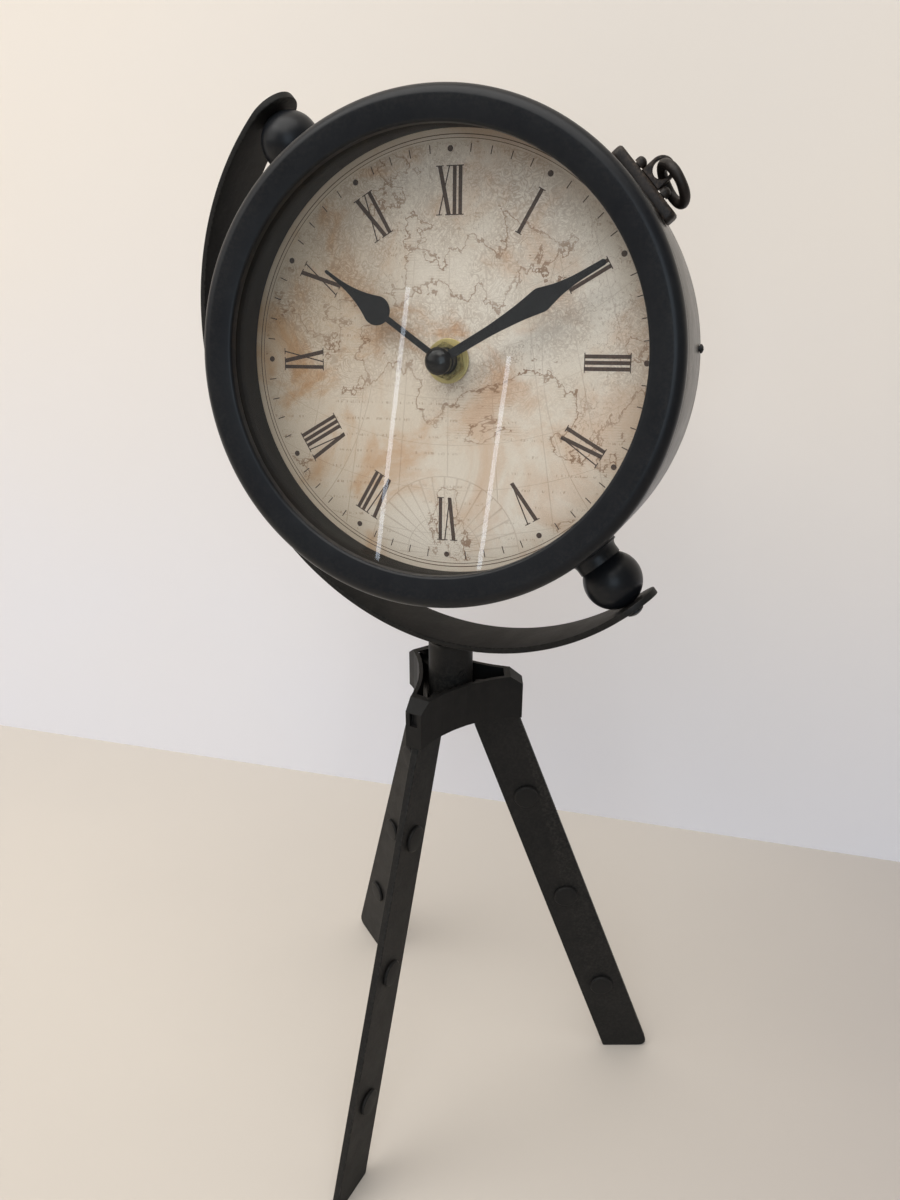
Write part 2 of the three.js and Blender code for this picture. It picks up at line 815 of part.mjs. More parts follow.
function makeCase() {
  const parts = new THREE.Group();
  parts.add(piece('bezel', bezelGeometry(), 'blackPaint'));
  parts.add(piece('glass', glassGeometry(), 'glass'));
  parts.add(piece('reveal_ring', revealGeometry(), 'blackPaint'));
  parts.add(piece('dial_face', dialFaceGeometry(), 'paper'));
  parts.add(piece('dial_plate', dialPlateGeometry(), 'steel'));
  parts.add(piece('drum_shell', shellGeometry(), 'glossShell'));
  parts.add(piece('back_cover', backCoverGeometry(), 'blackPaint'));
  coverScrewTurns().forEach((turn, i) => {
    parts.add(piece(`cover_screw_${i + 1}`, coverScrewGeometry(turn), 'steel'));
  });
  return parts;
}

// Movement

// Front half of the movement's case, with the threaded bush that goes through the dial
function movementFrameGeometry() {
  const inner = movementSize - 2 * movementWall;
  const box = plate(roundedRectangle(movementSize, movementSize, movementCorner), coverSplit, frameFront);
  const hollow = plate(
    roundedRectangle(inner, inner, movementCorner - movementWall), coverSplit - overrun, frameFloor,
  );
  const bush = rod(bushRadius, frameFloor + joinDepth, bushTop, knobSides);
  const bore = rod(bushBore, frameFloor - overrun, bushTop + overrun, smallSides);
  const pivotHole = motionArborRadius + runningGap;
  const bearing = rod(pivotHole, frameFloor - overrun, frameFloor + pivotDepth, pinSides);
  const divider = block(-inner / 2, inner / 2, bayTop, bayTop + bayWall, coverSplit, frameFloor);
  const body = join(cut(box, hollow), divider, bush);
  return cut(body, bore, bearing.translate(0, wheelDistance, 0));
}

// Back half of the movement's case, open over the battery
function movementCoverGeometry() {
  const top = coverSplit - seatGap;
  const inner = movementSize - 2 * movementWall;
  const box = plate(roundedRectangle(movementSize, movementSize, movementCorner), movementBack, top);
  const insideOutline = roundedRectangle(inner, inner, movementCorner - movementWall);
  const hollow = plate(insideOutline, coverFloor, top + overrun);
  const bay = block(-inner / 2, inner / 2, -inner / 2, bayTop, movementBack - overrun, coverFloor + overrun);
  const centre = rod(arborRadius + runningGap, coverFloor - pivotDepth, coverFloor + overrun, pinSides);
  const passage = rod(motionArborRadius + runningGap, movementBack - overrun, coverFloor + overrun, pinSides);
  const divider = block(-inner / 2, inner / 2, bayTop, bayTop + bayWall, coverFloor - joinDepth, top);
  const body = join(cut(box, hollow, bay), divider);
  return cut(body, centre, passage.translate(0, wheelDistance, 0));
}

function batteryGeometry() {
  const half = batteryLength / 2;
  const body = turned([
    point(0, -half),
    point(batteryRadius, -half),
    point(batteryRadius, half),
    point(batteryNubRadius, half),
    point(batteryNubRadius, half + batteryNubHeight),
    point(0, half + batteryNubHeight),
  ], knobSides);
  return body.rotateY(Math.PI / 2).translate(-batteryNubHeight / 2, -batteryDrop, batteryDepth);
}

// Spring leaf at one end of the battery
function contactGeometry(side) {
  const wall = side * (movementSize / 2 - movementWall - seatGap);
  const face = wall - side * contactThickness;
  const low = Math.min(wall, face);
  const high = Math.max(wall, face);
  const centre = -batteryDrop;
  return block(
    low, high, centre - contactWidth / 2, centre + contactWidth / 2,
    batteryDepth - contactWidth / 2, batteryDepth + contactWidth / 2,
  );
}

function boardGeometry() {
  const edge = -movementSize / 2 + movementWall + seatGap;
  const low = bayTop + bayWall + seatGap;
  const top = frameFloor - seatGap;
  return block(edge, edge + boardWidth, low, low + boardLength, top - boardThickness, top);
}

// Drive coil on its bobbin
function coilGeometry() {
  const half = coilLength / 2;
  const bobbin = turned([
    point(0, -half),
    point(coilRadius, -half),
    point(coilRadius, -half + coilFlange),
    point(coilCoreRadius, -half + coilFlange),
    point(coilCoreRadius, half - coilFlange),
    point(coilRadius, half - coilFlange),
    point(coilRadius, half),
    point(0, half),
  ], smallSides);
  return bobbin.rotateX(Math.PI / 2).translate(coilPlace, 0, frameFloor - seatGap - coilRadius);
}

function dialNutGeometry() {
  const low = seatGap + dialWasherThickness + seatGap;
  const high = low + dialNutThickness;
  return cut(hexagon(dialNutWidth, low, high), rod(bushHole, low - overrun, high + overrun, knobSides));
}

function makeMovement() {
  const parts = new THREE.Group();
  const gasket = washer(bushHole, gasketRadius, gasketFront - gasketThickness, gasketFront, knobSides);
  const dialWasher = washer(bushHole, dialWasherRadius, seatGap, seatGap + dialWasherThickness, knobSides);
  parts.add(piece('movement_frame', movementFrameGeometry(), 'blackPlastic'));
  parts.add(piece('movement_cover', movementCoverGeometry(), 'blackPlastic'));
  parts.add(piece('movement_gasket', gasket, 'rubber'));
  parts.add(piece('dial_washer', dialWasher, 'brass'));
  parts.add(piece('dial_nut', dialNutGeometry(), 'brass'));
  parts.add(piece('battery', batteryGeometry(), 'batteryGreen'));
  parts.add(piece('contact_positive', contactGeometry(1), 'steel'));
  parts.add(piece('contact_negative', contactGeometry(-1), 'steel'));
  parts.add(piece('circuit_board', boardGeometry(), 'board'));
  parts.add(piece('motor_coil', coilGeometry(), 'copper'));
  return parts;
}

// Toothed wheel with straight-flanked teeth, thinner than their spaces.
// Towards the given side it shows the middle of a tooth, or of a space when the share is a half.
function toothedShape(teeth, facing, phaseShare) {
  const pitchRadius = toothModule * teeth / 2;
  const tip = pitchRadius + toothModule * toothHeightShare;
  const root = pitchRadius - toothModule * toothRootShare;
  const pitchTurn = 2 * Math.PI / teeth;
  const rootHalf = pitchTurn * toothThicknessShare / 2;
  const tipHalf = rootHalf * toothTipShare;
  const points = [];
  for (let i = 0; i < teeth; i += 1) {
    const centre = facing + (i + phaseShare) * pitchTurn;
    for (const [radius, turn] of [[root, -rootHalf], [tip, -tipHalf], [tip, tipHalf], [root, rootHalf]]) {
      points.push(point(radius * Math.cos(centre + turn), radius * Math.sin(centre + turn)));
    }
  }
  return outlineShape(points);
}

// Centre arbor with its pinion; it carries the minute hand
function minuteArborGeometry() {
  const low = coverFloor - pivotDepth + runningGap;
  const arbor = rod(arborRadius, low, arborTop, smallSides);
  const teeth = toothedShape(cannonTeeth, Math.PI / 2, spaceShare);
  const pinion = plate(teeth, motionWheelBack - cannonOverhang, motionWheelFront + cannonOverhang);
  return join(arbor, pinion);
}

// Hour wheel with its pipe; it carries the hour hand
function hourWheelGeometry() {
  const wheel = plate(toothedShape(hourTeeth, Math.PI / 2, spaceShare), hourWheelBack, hourWheelFront);
  const pipe = rod(hourPipeRadius, hourWheelBack, hourHandLevel + handThickness + seatGap, smallSides);
  return cut(join(wheel, pipe), rod(hourPipeBore, hourWheelBack - overrun, minuteHandLevel, smallSides));
}

// Intermediate wheel and pinion on the arbor of the setting knob
function motionWheelGeometry() {
  const wheel = plate(toothedShape(motionTeeth, -Math.PI / 2, 0), motionWheelBack, motionWheelFront);
  const pinionTeeth = toothedShape(motionPinionTeeth, -Math.PI / 2, 0);
  const pinion = plate(pinionTeeth, motionWheelFront - joinDepth, frameFloor - seatGap);
  const low = movementBack - seatGap - setKnobSocketDepth;
  const arbor = rod(motionArborRadius, low, frameFloor + pivotDepth - runningGap, pinSides);
  return join(wheel, pinion, arbor).translate(0, wheelDistance, 0);
}

// Ribbed setting knob behind the movement
function setKnobGeometry() {
  const high = movementBack - seatGap;
  const low = high - setKnobHeight;
  const points = [];
  for (let i = 0; i < 2 * setKnobRibs; i += 1) {
    const radius = i % 2 === 0 ? setKnobRadius : setKnobRadius - setKnobRibDepth;
    const turn = i * Math.PI / setKnobRibs;
    points.push(point(radius * Math.cos(turn), radius * Math.sin(turn)));
  }
  const knob = plate(outlineShape(points), low, high);
  const socketFloor = high - setKnobSocketDepth - seatGap;
  const socket = rod(motionArborRadius + seatGap, socketFloor, high + overrun, pinSides);
  return cut(knob, socket).translate(0, wheelDistance, 0);
}

// Hands, drawn pointing to +X and turned to their time

function handHub(shapeGeometry, hubRadius, bore, level) {
  const hub = rod(hubRadius, level, level + handThickness, knobSides);
  return cut(join(shapeGeometry, hub), rod(bore, level - overrun, level + overrun, smallSides));
}

function hourHandGeometry() {
  const half = hourStemWidth / 2;
  const tip = hourTipWidth / 2;
  const entry = THREE.MathUtils.radToDeg(Math.asin(half / hourBulbRadius));
  const bulb = hourHandLength * hourBulbShare;
  const bulbTop = arc(bulb, 0, hourBulbRadius, entry - 180, -hourTaperFrom, 2 * roundSteps);
  const from = bulbTop[bulbTop.length - 1];
  const taper = hourTaperShares.map(([along, keep]) => point(
    THREE.MathUtils.lerp(from.x, hourHandLength, along),
    THREE.MathUtils.lerp(-tip, from.y, keep),
  ));
  const lower = [point(0, -half), ...bulbTop, ...taper, point(hourHandLength - tip, -tip)];
  const upper = lower.map((p) => point(p.x, -p.y)).reverse();
  const shape = outlineShape([...lower, point(hourHandLength, 0), ...upper]);
  const hand = plate(shape, hourHandLevel, hourHandLevel + handThickness);
  return handHub(hand, hourHubRadius, hourPipeRadius + seatGap, hourHandLevel);
}

function minuteHandGeometry() {
  const tip = minuteTipWidth / 2;
  const lower = [
    point(0, -minuteRootWidth / 2),
    point(minuteHandLength * minuteBellyShare, -minuteBellyWidth / 2),
    point(minuteHandLength * minuteNeckShare, -tip),
  ];
  const upper = lower.map((p) => point(p.x, -p.y)).reverse();
  const end = arc(minuteHandLength - tip, 0, tip, -90, 90, roundSteps);
  const hand = plate(
    outlineShape([...lower, ...end, ...upper]), minuteHandLevel, minuteHandLevel + handThickness,
  );
  return handHub(hand, minuteHubRadius, arborRadius + seatGap, minuteHandLevel);
}

// Domed cap pressed on the end of the arbor
function handCapGeometry() {
  const low = minuteHandLevel + handThickness + seatGap;
  const dome = turned([
    point(0, low),
    point(capRadius, low),
    ...arc(0, 0, 1, 0, 90, roundSteps).map((p) => point(
      capRadius * p.x, low + capWall + (capHeight - capWall) * p.y,
    )),
  ], knobSides);
  return cut(dome, rod(arborRadius + seatGap, low - overrun, arborTop + seatGap, smallSides));
}

function makeHands() {
  const parts = new THREE.Group();
  const hourAngle = (360 * hourShown + minuteAngle) / 12;
  const minute = piece('minute_hand', minuteHandGeometry(), 'handBlack');
  minute.rotation.z = radians(90 - minuteAngle);
  const hour = piece('hour_hand', hourHandGeometry(), 'handBlack');
  hour.rotation.z = radians(90 - hourAngle);
  parts.add(minute, hour);
  parts.add(piece('hand_cap', handCapGeometry(), 'capBlack'));
  parts.add(piece('minute_arbor', minuteArborGeometry(), 'steel'));
  parts.add(piece('hour_wheel', hourWheelGeometry(), 'whitePlastic'));
  parts.add(piece('motion_wheel', motionWheelGeometry(), 'whitePlastic'));
  parts.add(piece('set_knob', setKnobGeometry(), 'whitePlastic'));
  return parts;
}

// Handle: X outwards from the drum, Y along the plate, Z out of the dial

function handlePlateGeometry() {
  const seat = drumRadius + seatGap;
  const top = seat + handlePlateThickness;
  const half = handlePlateWidth / 2;
  const base = block(seat, top, -handlePlateLength / 2, handlePlateLength / 2, -half, half);
  const lug = block(
    top - joinDepth, top + lugHeight, -lugWidth / 2, lugWidth / 2, -lugDepth / 2, lugDepth / 2,
  );
  const eye = rod(eyeRadius, -lugDepth, lugDepth, smallSides).translate(seat + eyeHeight, 0, 0);
  const holes = [-1, 1].map((side) => {
    const hole = rod(handleScrewRadius + seatGap, seat - overrun, top + overrun, pinSides);
    return hole.rotateY(Math.PI / 2).translate(0, side * handleScrewPlace, 0);
  });
  return cut(join(base, lug), eye, ...holes);
}

function handleScrewGeometry(side) {
  const seat = drumRadius + seatGap + handlePlateThickness + seatGap;
  const screw = domedScrew(handleScrewRadius, handleScrewHeadRadius, handleScrewHeadHeight, shellInner, seat);
  return screw.rotateY(Math.PI / 2).translate(0, side * handleScrewPlace, 0);
}

// Round ring whose bar passes through its own origin, the rest of it lying along +X
function handleRingGeometry() {
  const ring = new THREE.TorusGeometry(ringRadius, ringBarRadius, ringBarSides, ringSteps);
  return ring.translate(ringRadius, 0, 0);
}

// The ring hangs askew in the eye over the lower half of the plate
function makeHandleRing() {
  const ring = piece('handle_ring', handleRingGeometry(), 'castBrown');
  ring.rotation.set(radians(90 - ringTwist), radians(-ringSwing), -Math.PI / 2, 'ZYX');
  ring.position.x = drumRadius + seatGap + eyeHeight;
  return ring;
}

function makeHandle() {
  const handle = new THREE.Group();
  handle.position.z = -dialAhead;
  handle.rotation.z = radians(90 - handleTurn);
  handle.add(piece('handle_plate', handlePlateGeometry(), 'castBrown'));
  handle.add(piece('handle_screw_upper', handleScrewGeometry(1), 'castBrown'));
  handle.add(piece('handle_screw_lower', handleScrewGeometry(-1), 'castBrown'));
  handle.add(makeHandleRing());
  return handle;
}

// Whole clock

function makeClock() {
  const clock = new THREE.Group();
  clock.position.z = pivotHeight;
  const pivotAxis = new THREE.Vector3(Math.cos(radians(pivotTurn)), 0, -Math.sin(radians(pivotTurn)));
  clock.setRotationFromAxisAngle(pivotAxis, radians(clockTilt));
  clock.add(makePivots());
  const drum = new THREE.Group();
  drum.rotation.set(Math.PI / 2, 0, radians(dialRoll));
  const dial = new THREE.Group();
  dial.position.z = dialAhead;
  dial.add(makeCase(), makeMovement(), makeHands(), makeHandle());
  drum.add(dial);
  clock.add(drum);
  return clock;
}

// The origin lies on the floor, under the middle of the whole clock's box
function makeTableClock() {
  const pieces = new THREE.Group();
  pieces.add(makeStand(), makeHead(), makeClock());
  const middle = new THREE.Box3().setFromObject(pieces, true).getCenter(new THREE.Vector3());
  pieces.position.set(-middle.x, -middle.y, 0);
  const tableClock = new THREE.Group();
  tableClock.add(pieces);
  return tableClock;
}

export default makeTableClock();
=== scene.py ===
"""Looks of a table clock that tilts in a strap arm on a riveted tripod.

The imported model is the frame. Shapes are worked out in millimetres and put into meshes in metres.
"""
import json
import math

import bmesh
import bpy
import numpy as np
from mathutils import Matrix


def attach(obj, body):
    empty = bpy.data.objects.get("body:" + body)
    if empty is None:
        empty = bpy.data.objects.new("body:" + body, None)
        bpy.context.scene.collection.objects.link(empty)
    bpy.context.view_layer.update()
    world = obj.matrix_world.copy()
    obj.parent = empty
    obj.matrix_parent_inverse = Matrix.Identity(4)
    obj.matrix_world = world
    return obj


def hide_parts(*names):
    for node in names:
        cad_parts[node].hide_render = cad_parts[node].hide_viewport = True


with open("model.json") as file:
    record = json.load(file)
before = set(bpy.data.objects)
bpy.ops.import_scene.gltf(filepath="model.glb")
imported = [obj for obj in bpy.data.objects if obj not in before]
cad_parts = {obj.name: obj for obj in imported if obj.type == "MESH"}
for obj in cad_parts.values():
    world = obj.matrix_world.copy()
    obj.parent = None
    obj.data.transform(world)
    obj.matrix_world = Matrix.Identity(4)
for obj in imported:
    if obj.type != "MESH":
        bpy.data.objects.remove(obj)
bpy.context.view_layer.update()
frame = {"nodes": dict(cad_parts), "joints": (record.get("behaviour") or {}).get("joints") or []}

MM = 0.001
joints = {joint["name"]: joint for joint in frame["joints"]}


# Places: an origin in millimetres and three unit directions

def unit(vector):
    """The vector divided by its own length."""
    vector = np.array(vector, float)
    return vector / np.linalg.norm(vector)


class Place:
    """A spot on the clock: local points are carried to origin + x * X + y * Y + z * Z."""

    def __init__(self, origin, x, y, z):
        self.origin = np.array(origin, float)
        self.axes = np.array([x, y, z], float)

    def out(self, points):
        """Local points as points of the whole clock."""
        return self.origin + np.asarray(points, float) @ self.axes

    def moved(self, x=0.0, y=0.0, z=0.0):
        """The same directions from another origin, given as a local point."""
        return Place(self.out((x, y, z)), *self.axes)

    def turned(self, degrees):
        """The same origin and Z, with X and Y turned about Z."""
        c, s = math.cos(math.radians(degrees)), math.sin(math.radians(degrees))
        x, y, z = self.axes
        return Place(self.origin, c * x + s * y, c * y - s * x, z)


def joint_place(name):
    """Where a joint of the frame sits, in millimetres."""
    return np.array(joints[name]["pos_m"], float) / MM


pivot = joint_place("clock_tilt")
ball_axis = unit(joints["clock_tilt"]["axis"])
dial_out = -unit(joints["minute_turn"]["axis"])
to_knob = joint_place("setting_turn") - joint_place("minute_turn")
dial_up = unit(to_knob - (to_knob @ dial_out) * dial_out)
dial_right = np.cross(dial_up, dial_out)
dial = Place(joint_place("minute_turn"), dial_right, dial_up, dial_out)
handle_out = unit(joint_place("ring_swing") - pivot)
handle = Place(pivot, handle_out, np.cross(dial_out, handle_out), dial_out)
stand_foot = joint_place("head_turn") * (1, 1, 0)
stand = Place(stand_foot, (1, 0, 0), (0, 1, 0), (0, 0, 1))
sideways = np.array((0.0, 1.0, 0.0))
arm_middle = np.cross(sideways, ball_axis)
arm_place = Place(pivot, arm_middle, ball_axis, sideways)


# Camera: angles in degrees, its place in millimetres from the middle of the stand's foot

PICTURE_WIDTH, PICTURE_HEIGHT = 900, 1200
SENSOR_WIDTH, LENS = 36.0, 39.27
CAMERA_TURN = (30.859, -25.983, 0.19)
CAMERA_FROM_STAND = (171.35, -287.447, 402.88)


def placed(place, x, y, z):
    """Matrix of an object at a place in metres whose own axes point along three directions."""
    matrix = np.eye(4)
    matrix[:3, :3] = np.array((x, y, z)).T
    matrix[:3, 3] = place
    return Matrix(matrix.tolist())


def make_camera():
    """Camera at the viewing angle of the photograph; gives its place and its three directions."""
    camera = bpy.data.objects.new("camera", bpy.data.cameras.new("camera"))
    camera.data.sensor_fit = "HORIZONTAL"
    camera.data.sensor_width = SENSOR_WIDTH
    camera.data.lens = LENS
    camera.data.clip_start = 0.01
    camera.data.clip_end = 50.0
    yaw, pitch, roll = np.radians(CAMERA_TURN)
    ahead = np.array((-math.sin(yaw) * math.cos(pitch), math.cos(yaw) * math.cos(pitch), math.sin(pitch)))
    level = np.array((math.cos(yaw), math.sin(yaw), 0.0))
    above = np.cross(level, ahead)
    right = math.cos(roll) * level + math.sin(roll) * above
    up = math.cos(roll) * above - math.sin(roll) * level
    place = stand_foot + CAMERA_FROM_STAND
    camera.matrix_world = placed(place * MM, right, up, -ahead)
    bpy.context.scene.collection.objects.link(camera)
    bpy.context.scene.camera = camera
    return place, ahead, right, up


camera_place, camera_ahead, camera_right, camera_up = make_camera()


def through_pixel(x, y):
    """Direction from the camera through a pixel of the picture."""
    focal = LENS / SENSOR_WIDTH * PICTURE_WIDTH
    across, down = (x - PICTURE_WIDTH / 2) / focal, (y - PICTURE_HEIGHT / 2) / focal
    return unit(camera_ahead + camera_right * across - camera_up * down)


# Mesh tools

def grid_faces(rows, columns, wrap_rows=False):
    """Quads between neighbouring rows of a grid of points whose rows close on themselves, as one
    array of indices; the last row meets the first where the rows wrap too."""
    row = np.arange(rows if wrap_rows else rows - 1)
    row, column = [a.ravel() for a in np.meshgrid(row, np.arange(columns), indexing="ij")]
    next_row = (row + 1) % rows
    next_column = (column + 1) % columns
    return np.stack([
        row * columns + column,
        row * columns + next_column,
        next_row * columns + next_column,
        next_row * columns + column,
    ], 1)


EDGE_GAIN = 30


def mark_edges(mesh):
    """Edge attribute: how far a point's own normal leans from the faces round it, from 0 to 1."""
    normals = np.empty(len(mesh.vertices) * 3, np.float32)
    mesh.vertices.foreach_get("normal", normals)
    normals = normals.reshape(-1, 3)
    face_normals = np.empty(len(mesh.polygons) * 3, np.float32)
    mesh.polygons.foreach_get("normal", face_normals)
    totals = np.empty(len(mesh.polygons), np.int32)
    mesh.polygons.foreach_get("loop_total", totals)
    corner_points = np.empty(len(mesh.loops), np.int32)
    mesh.loops.foreach_get("vertex_index", corner_points)
    corner_faces = np.repeat(np.arange(len(totals)), totals)
    agreement = (normals[corner_points] * face_normals.reshape(-1, 3)[corner_faces]).sum(1)
    lowest = np.ones(len(normals), np.float32)
    np.minimum.at(lowest, corner_points, agreement)
    attribute = mesh.attributes.new("edge", "FLOAT", "POINT")
    attribute.data.foreach_set("value", np.clip((1 - lowest) * EDGE_GAIN, 0, 1))


def piece(name, place, shape, material, body, nodes=(), sharp=38):
    """A closed mesh from a shape's points and faces, in millimetres on a place, riding on a body and
    standing for CAD nodes. Edges that bend by more than the sharp angle stay crisp."""
    points, faces = shape
    mesh = bpy.data.meshes.new(name)
    mesh.from_pydata((place.out(points) * MM).tolist(), [], [list(map(int, face)) for face in faces])
    work = bmesh.new()
    work.from_mesh(mesh)
    bmesh.ops.remove_doubles(work, verts=work.verts, dist=1e-7)
    bmesh.ops.dissolve_degenerate(work, edges=work.edges, dist=1e-8)
    bmesh.ops.recalc_face_normals(work, faces=work.faces)
    work.to_mesh(mesh)
    work.free()
    mesh.shade_smooth()
    mesh.set_sharp_from_angle(angle=math.radians(sharp))
    for polygon in mesh.polygons:
        if polygon.loop_total > 4:
            polygon.use_smooth = False
    mark_edges(mesh)
    mesh.materials.append(material)
    obj = bpy.data.objects.new(name, mesh)
    bpy.context.scene.collection.objects.link(obj)
    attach(obj, body)
    if nodes:
        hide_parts(*nodes)
    return obj


def rounded(corners, radius, steps=4, closed=True):
    """Outline whose corners are bent: each gives way to a curve from one side to the next,
    (1-s)^2 A + 2 s (1-s) C + s^2 B, with A and B at the given distance from corner C."""
    corners = np.array(corners, float)
    before = np.roll(corners, 1, 0) - corners
    after = np.roll(corners, -1, 0) - corners
    length_before = np.linalg.norm(before, axis=1, keepdims=True)
    length_after = np.linalg.norm(after, axis=1, keepdims=True)
    reach = np.broadcast_to(np.array(radius, float), len(corners))[:, None]
    reach = np.minimum(reach, 0.45 * np.minimum(length_before, length_after))
    if not closed:
        reach[[0, -1]] = 0
    first = corners + before / length_before * reach
    last = corners + after / length_after * reach
    s = np.linspace(0, 1, steps + 1)[None, :, None]
    curve = (1 - s) ** 2 * first[:, None] + 2 * s * (1 - s) * corners[:, None] + s ** 2 * last[:, None]
    return curve.reshape(-1, 2)


def rectangle(left, right, low, high):
    """Four corners, from the low left one on."""
    return [(left, low), (right, low), (right, high), (left, high)]


def arc(centre, radius, start, end, steps):
    """Points of a circle, or of an ellipse with two radii, between two angles in degrees."""
    angle = np.radians(np.linspace(start, end, steps + 1))
    across, up = np.broadcast_to(radius, 2)
    return np.stack([centre[0] + across * np.cos(angle), centre[1] + up * np.sin(angle)], 1)


def around(sides):
    """Evenly spaced angles of a full turn, in radians."""
    return np.arange(sides) * 2 * math.pi / sides


def lathe(profile, sides, closed=True):
    """A profile of radius and height carried round the Z axis: (r cos a, r sin a, h)."""
    angle = around(sides)
    radius, height = np.asarray(profile, float).T
    points = np.stack([
        radius[:, None] * np.cos(angle),
        radius[:, None] * np.sin(angle),
        np.broadcast_to(height[:, None], (len(radius), sides)),
    ], -1)
    return points.reshape(-1, 3), grid_faces(len(radius), sides, wrap_rows=closed)


def ring_stack(rings, sides):
    """Rings about the Z axis, (r cos a, r sin a, h), the last one joined to the first. Reach r and
    height h are each one number, or one for each angle a."""
    angle = around(sides)
    grid = []
    for reach, height in rings:
        reach, height, _ = np.broadcast_arrays(reach, height, angle)
        grid.append(np.stack([reach * np.cos(angle), reach * np.sin(angle), height], 1))
    return np.concatenate(grid), grid_faces(len(rings), sides, wrap_rows=True)


def stacked(rings):
    """Rings of points joined one to the next, with a flat cap on the first and on the last."""
    count = len(rings[0])
    faces = [tuple(face) for face in grid_faces(len(rings), count)]
    faces += [tuple(range(count)), tuple(range((len(rings) - 1) * count, len(rings) * count))]
    return np.concatenate(rings), faces


def inset(outline, distance):
    """An outline moved inwards by a distance, along the mean of each point's two side normals."""
    ahead = np.roll(outline, -1, 0) - outline
    behind = outline - np.roll(outline, 1, 0)
    area = (outline[:, 0] * np.roll(outline[:, 1], -1) - np.roll(outline[:, 0], -1) * outline[:, 1]).sum()
    turn = np.array([[0, 1], [-1, 0]]) * np.sign(area)
    normal_a = ahead / np.maximum(np.linalg.norm(ahead, axis=1, keepdims=True), 1e-9) @ turn.T
    normal_b = behind / np.maximum(np.linalg.norm(behind, axis=1, keepdims=True), 1e-9) @ turn.T
    mean = normal_a + normal_b
    share = np.maximum((mean * mean).sum(1, keepdims=True), 0.5)
    return outline - distance * 2 * mean / share


def slab(outline, low, high, edge, steps=3):
    """A flat plate: the outline carried from one face to the other, drawn in by a quarter circle
    of the edge's radius at both faces."""
    outline = outline[np.linalg.norm(np.roll(outline, -1, 0) - outline, axis=1) > 1e-6]
    angle = np.linspace(0, math.pi / 2, steps + 1)
    lower = [(edge * (1 - math.sin(a)), low + edge * (1 - math.cos(a))) for a in angle]
    upper = [(draw, high - (height - low)) for draw, height in reversed(lower)]
    return stacked([np.column_stack([inset(outline, draw), np.full(len(outline), height)])
                    for draw, height in lower + upper])


def joined(*parts):
    """Several shapes, each of points and faces, as one."""
    points, faces, start = [], [], 0
    for part_points, part_faces in parts:
        points.append(np.asarray(part_points, float))
        faces += [tuple(int(i) + start for i in face) for face in part_faces]
        start += len(part_points)
    return np.concatenate(points), faces


# Node tools

class Graph:
    """Short calls that add nodes to a tree and link them."""

    def __init__(self, tree):
        self.tree = tree

    def node(self, kind, **settings):
        """A new node of a kind, with its own settings."""
        node = self.tree.nodes.new(kind)
        for key, value in settings.items():
            setattr(node, key, value)
        return node

    def feed(self, socket, value):
        """Links an output to a socket, or sets the socket to a plain value."""
        if isinstance(value, bpy.types.NodeSocket):
            self.tree.links.new(value, socket)
        else:
            socket.default_value = value

    def math(self, operation, *values, clamp=False):
        """Arithmetic on numbers, held between 0 and 1 where clamp is set."""
        node = self.node("ShaderNodeMath", operation=operation, use_clamp=clamp)
        for socket, value in zip(node.inputs, values):
            self.feed(socket, value)
        return node.outputs[0]

    def vector(self, operation, *values):
        """Arithmetic on places; a length comes out as a number."""
        node = self.node("ShaderNodeVectorMath", operation=operation)
        for socket, value in zip(node.inputs, values):
            self.feed(socket, value)
        return node.outputs["Value" if operation == "LENGTH" else 0]

    def span(self, value, low, high, to_low=0.0, to_high=1.0):
        """A value carried smoothly from one span to another."""
        node = self.node("ShaderNodeMapRange", interpolation_type="SMOOTHSTEP")
        keys = ("Value", "From Min", "From Max", "To Min", "To Max")
        for key, item in zip(keys, (value, low, high, to_low, to_high)):
            self.feed(node.inputs[key], item)
        return node.outputs[0]

    def colour(self, factor, first, second):
        """A mix that goes from the first colour to the second as the factor rises."""
        node = self.node("ShaderNodeMix", data_type="RGBA")
        self.feed(node.inputs[0], factor)
        self.feed(node.inputs[6], first)
        self.feed(node.inputs[7], second)
        return node.outputs[2]

    def noise(self, vector, scale, detail, roughness=0.5, distortion=0.0):
        """Cloudy values from 0 to 1 over a place; scale is clouds per unit of it."""
        node = self.node("ShaderNodeTexNoise")
        keys = ("Vector", "Scale", "Detail", "Roughness", "Distortion")
        for key, item in zip(keys, (vector, scale, detail, roughness, distortion)):
            self.feed(node.inputs[key], item)
        return node.outputs["Fac"]

    def position(self):
        """The spot on the piece, in metres."""
        return self.node("ShaderNodeTexCoord").outputs["Object"]

    def attribute(self, name):
        """A value that the mesh carries at its points."""
        return self.node("ShaderNodeAttribute", attribute_name=name).outputs["Fac"]


def effect(name, inputs, outputs, build):
    """A node group: named inputs with their values, named outputs, and a function that fills it."""
    tree = bpy.data.node_groups.new(name, "ShaderNodeTree")
    for key, (kind, value) in inputs.items():
        socket = tree.interface.new_socket(key, in_out="INPUT", socket_type=kind)
        socket.default_value = value
    for key, kind in outputs.items():
        tree.interface.new_socket(key, in_out="OUTPUT", socket_type=kind)
    graph = Graph(tree)
    source = graph.node("NodeGroupInput")
    sink = graph.node("NodeGroupOutput")
    for key, value in build(graph, source.outputs).items():
        graph.feed(sink.inputs[key], value)
    return tree


FLOAT, COLOUR = "NodeSocketFloat", "NodeSocketColor"


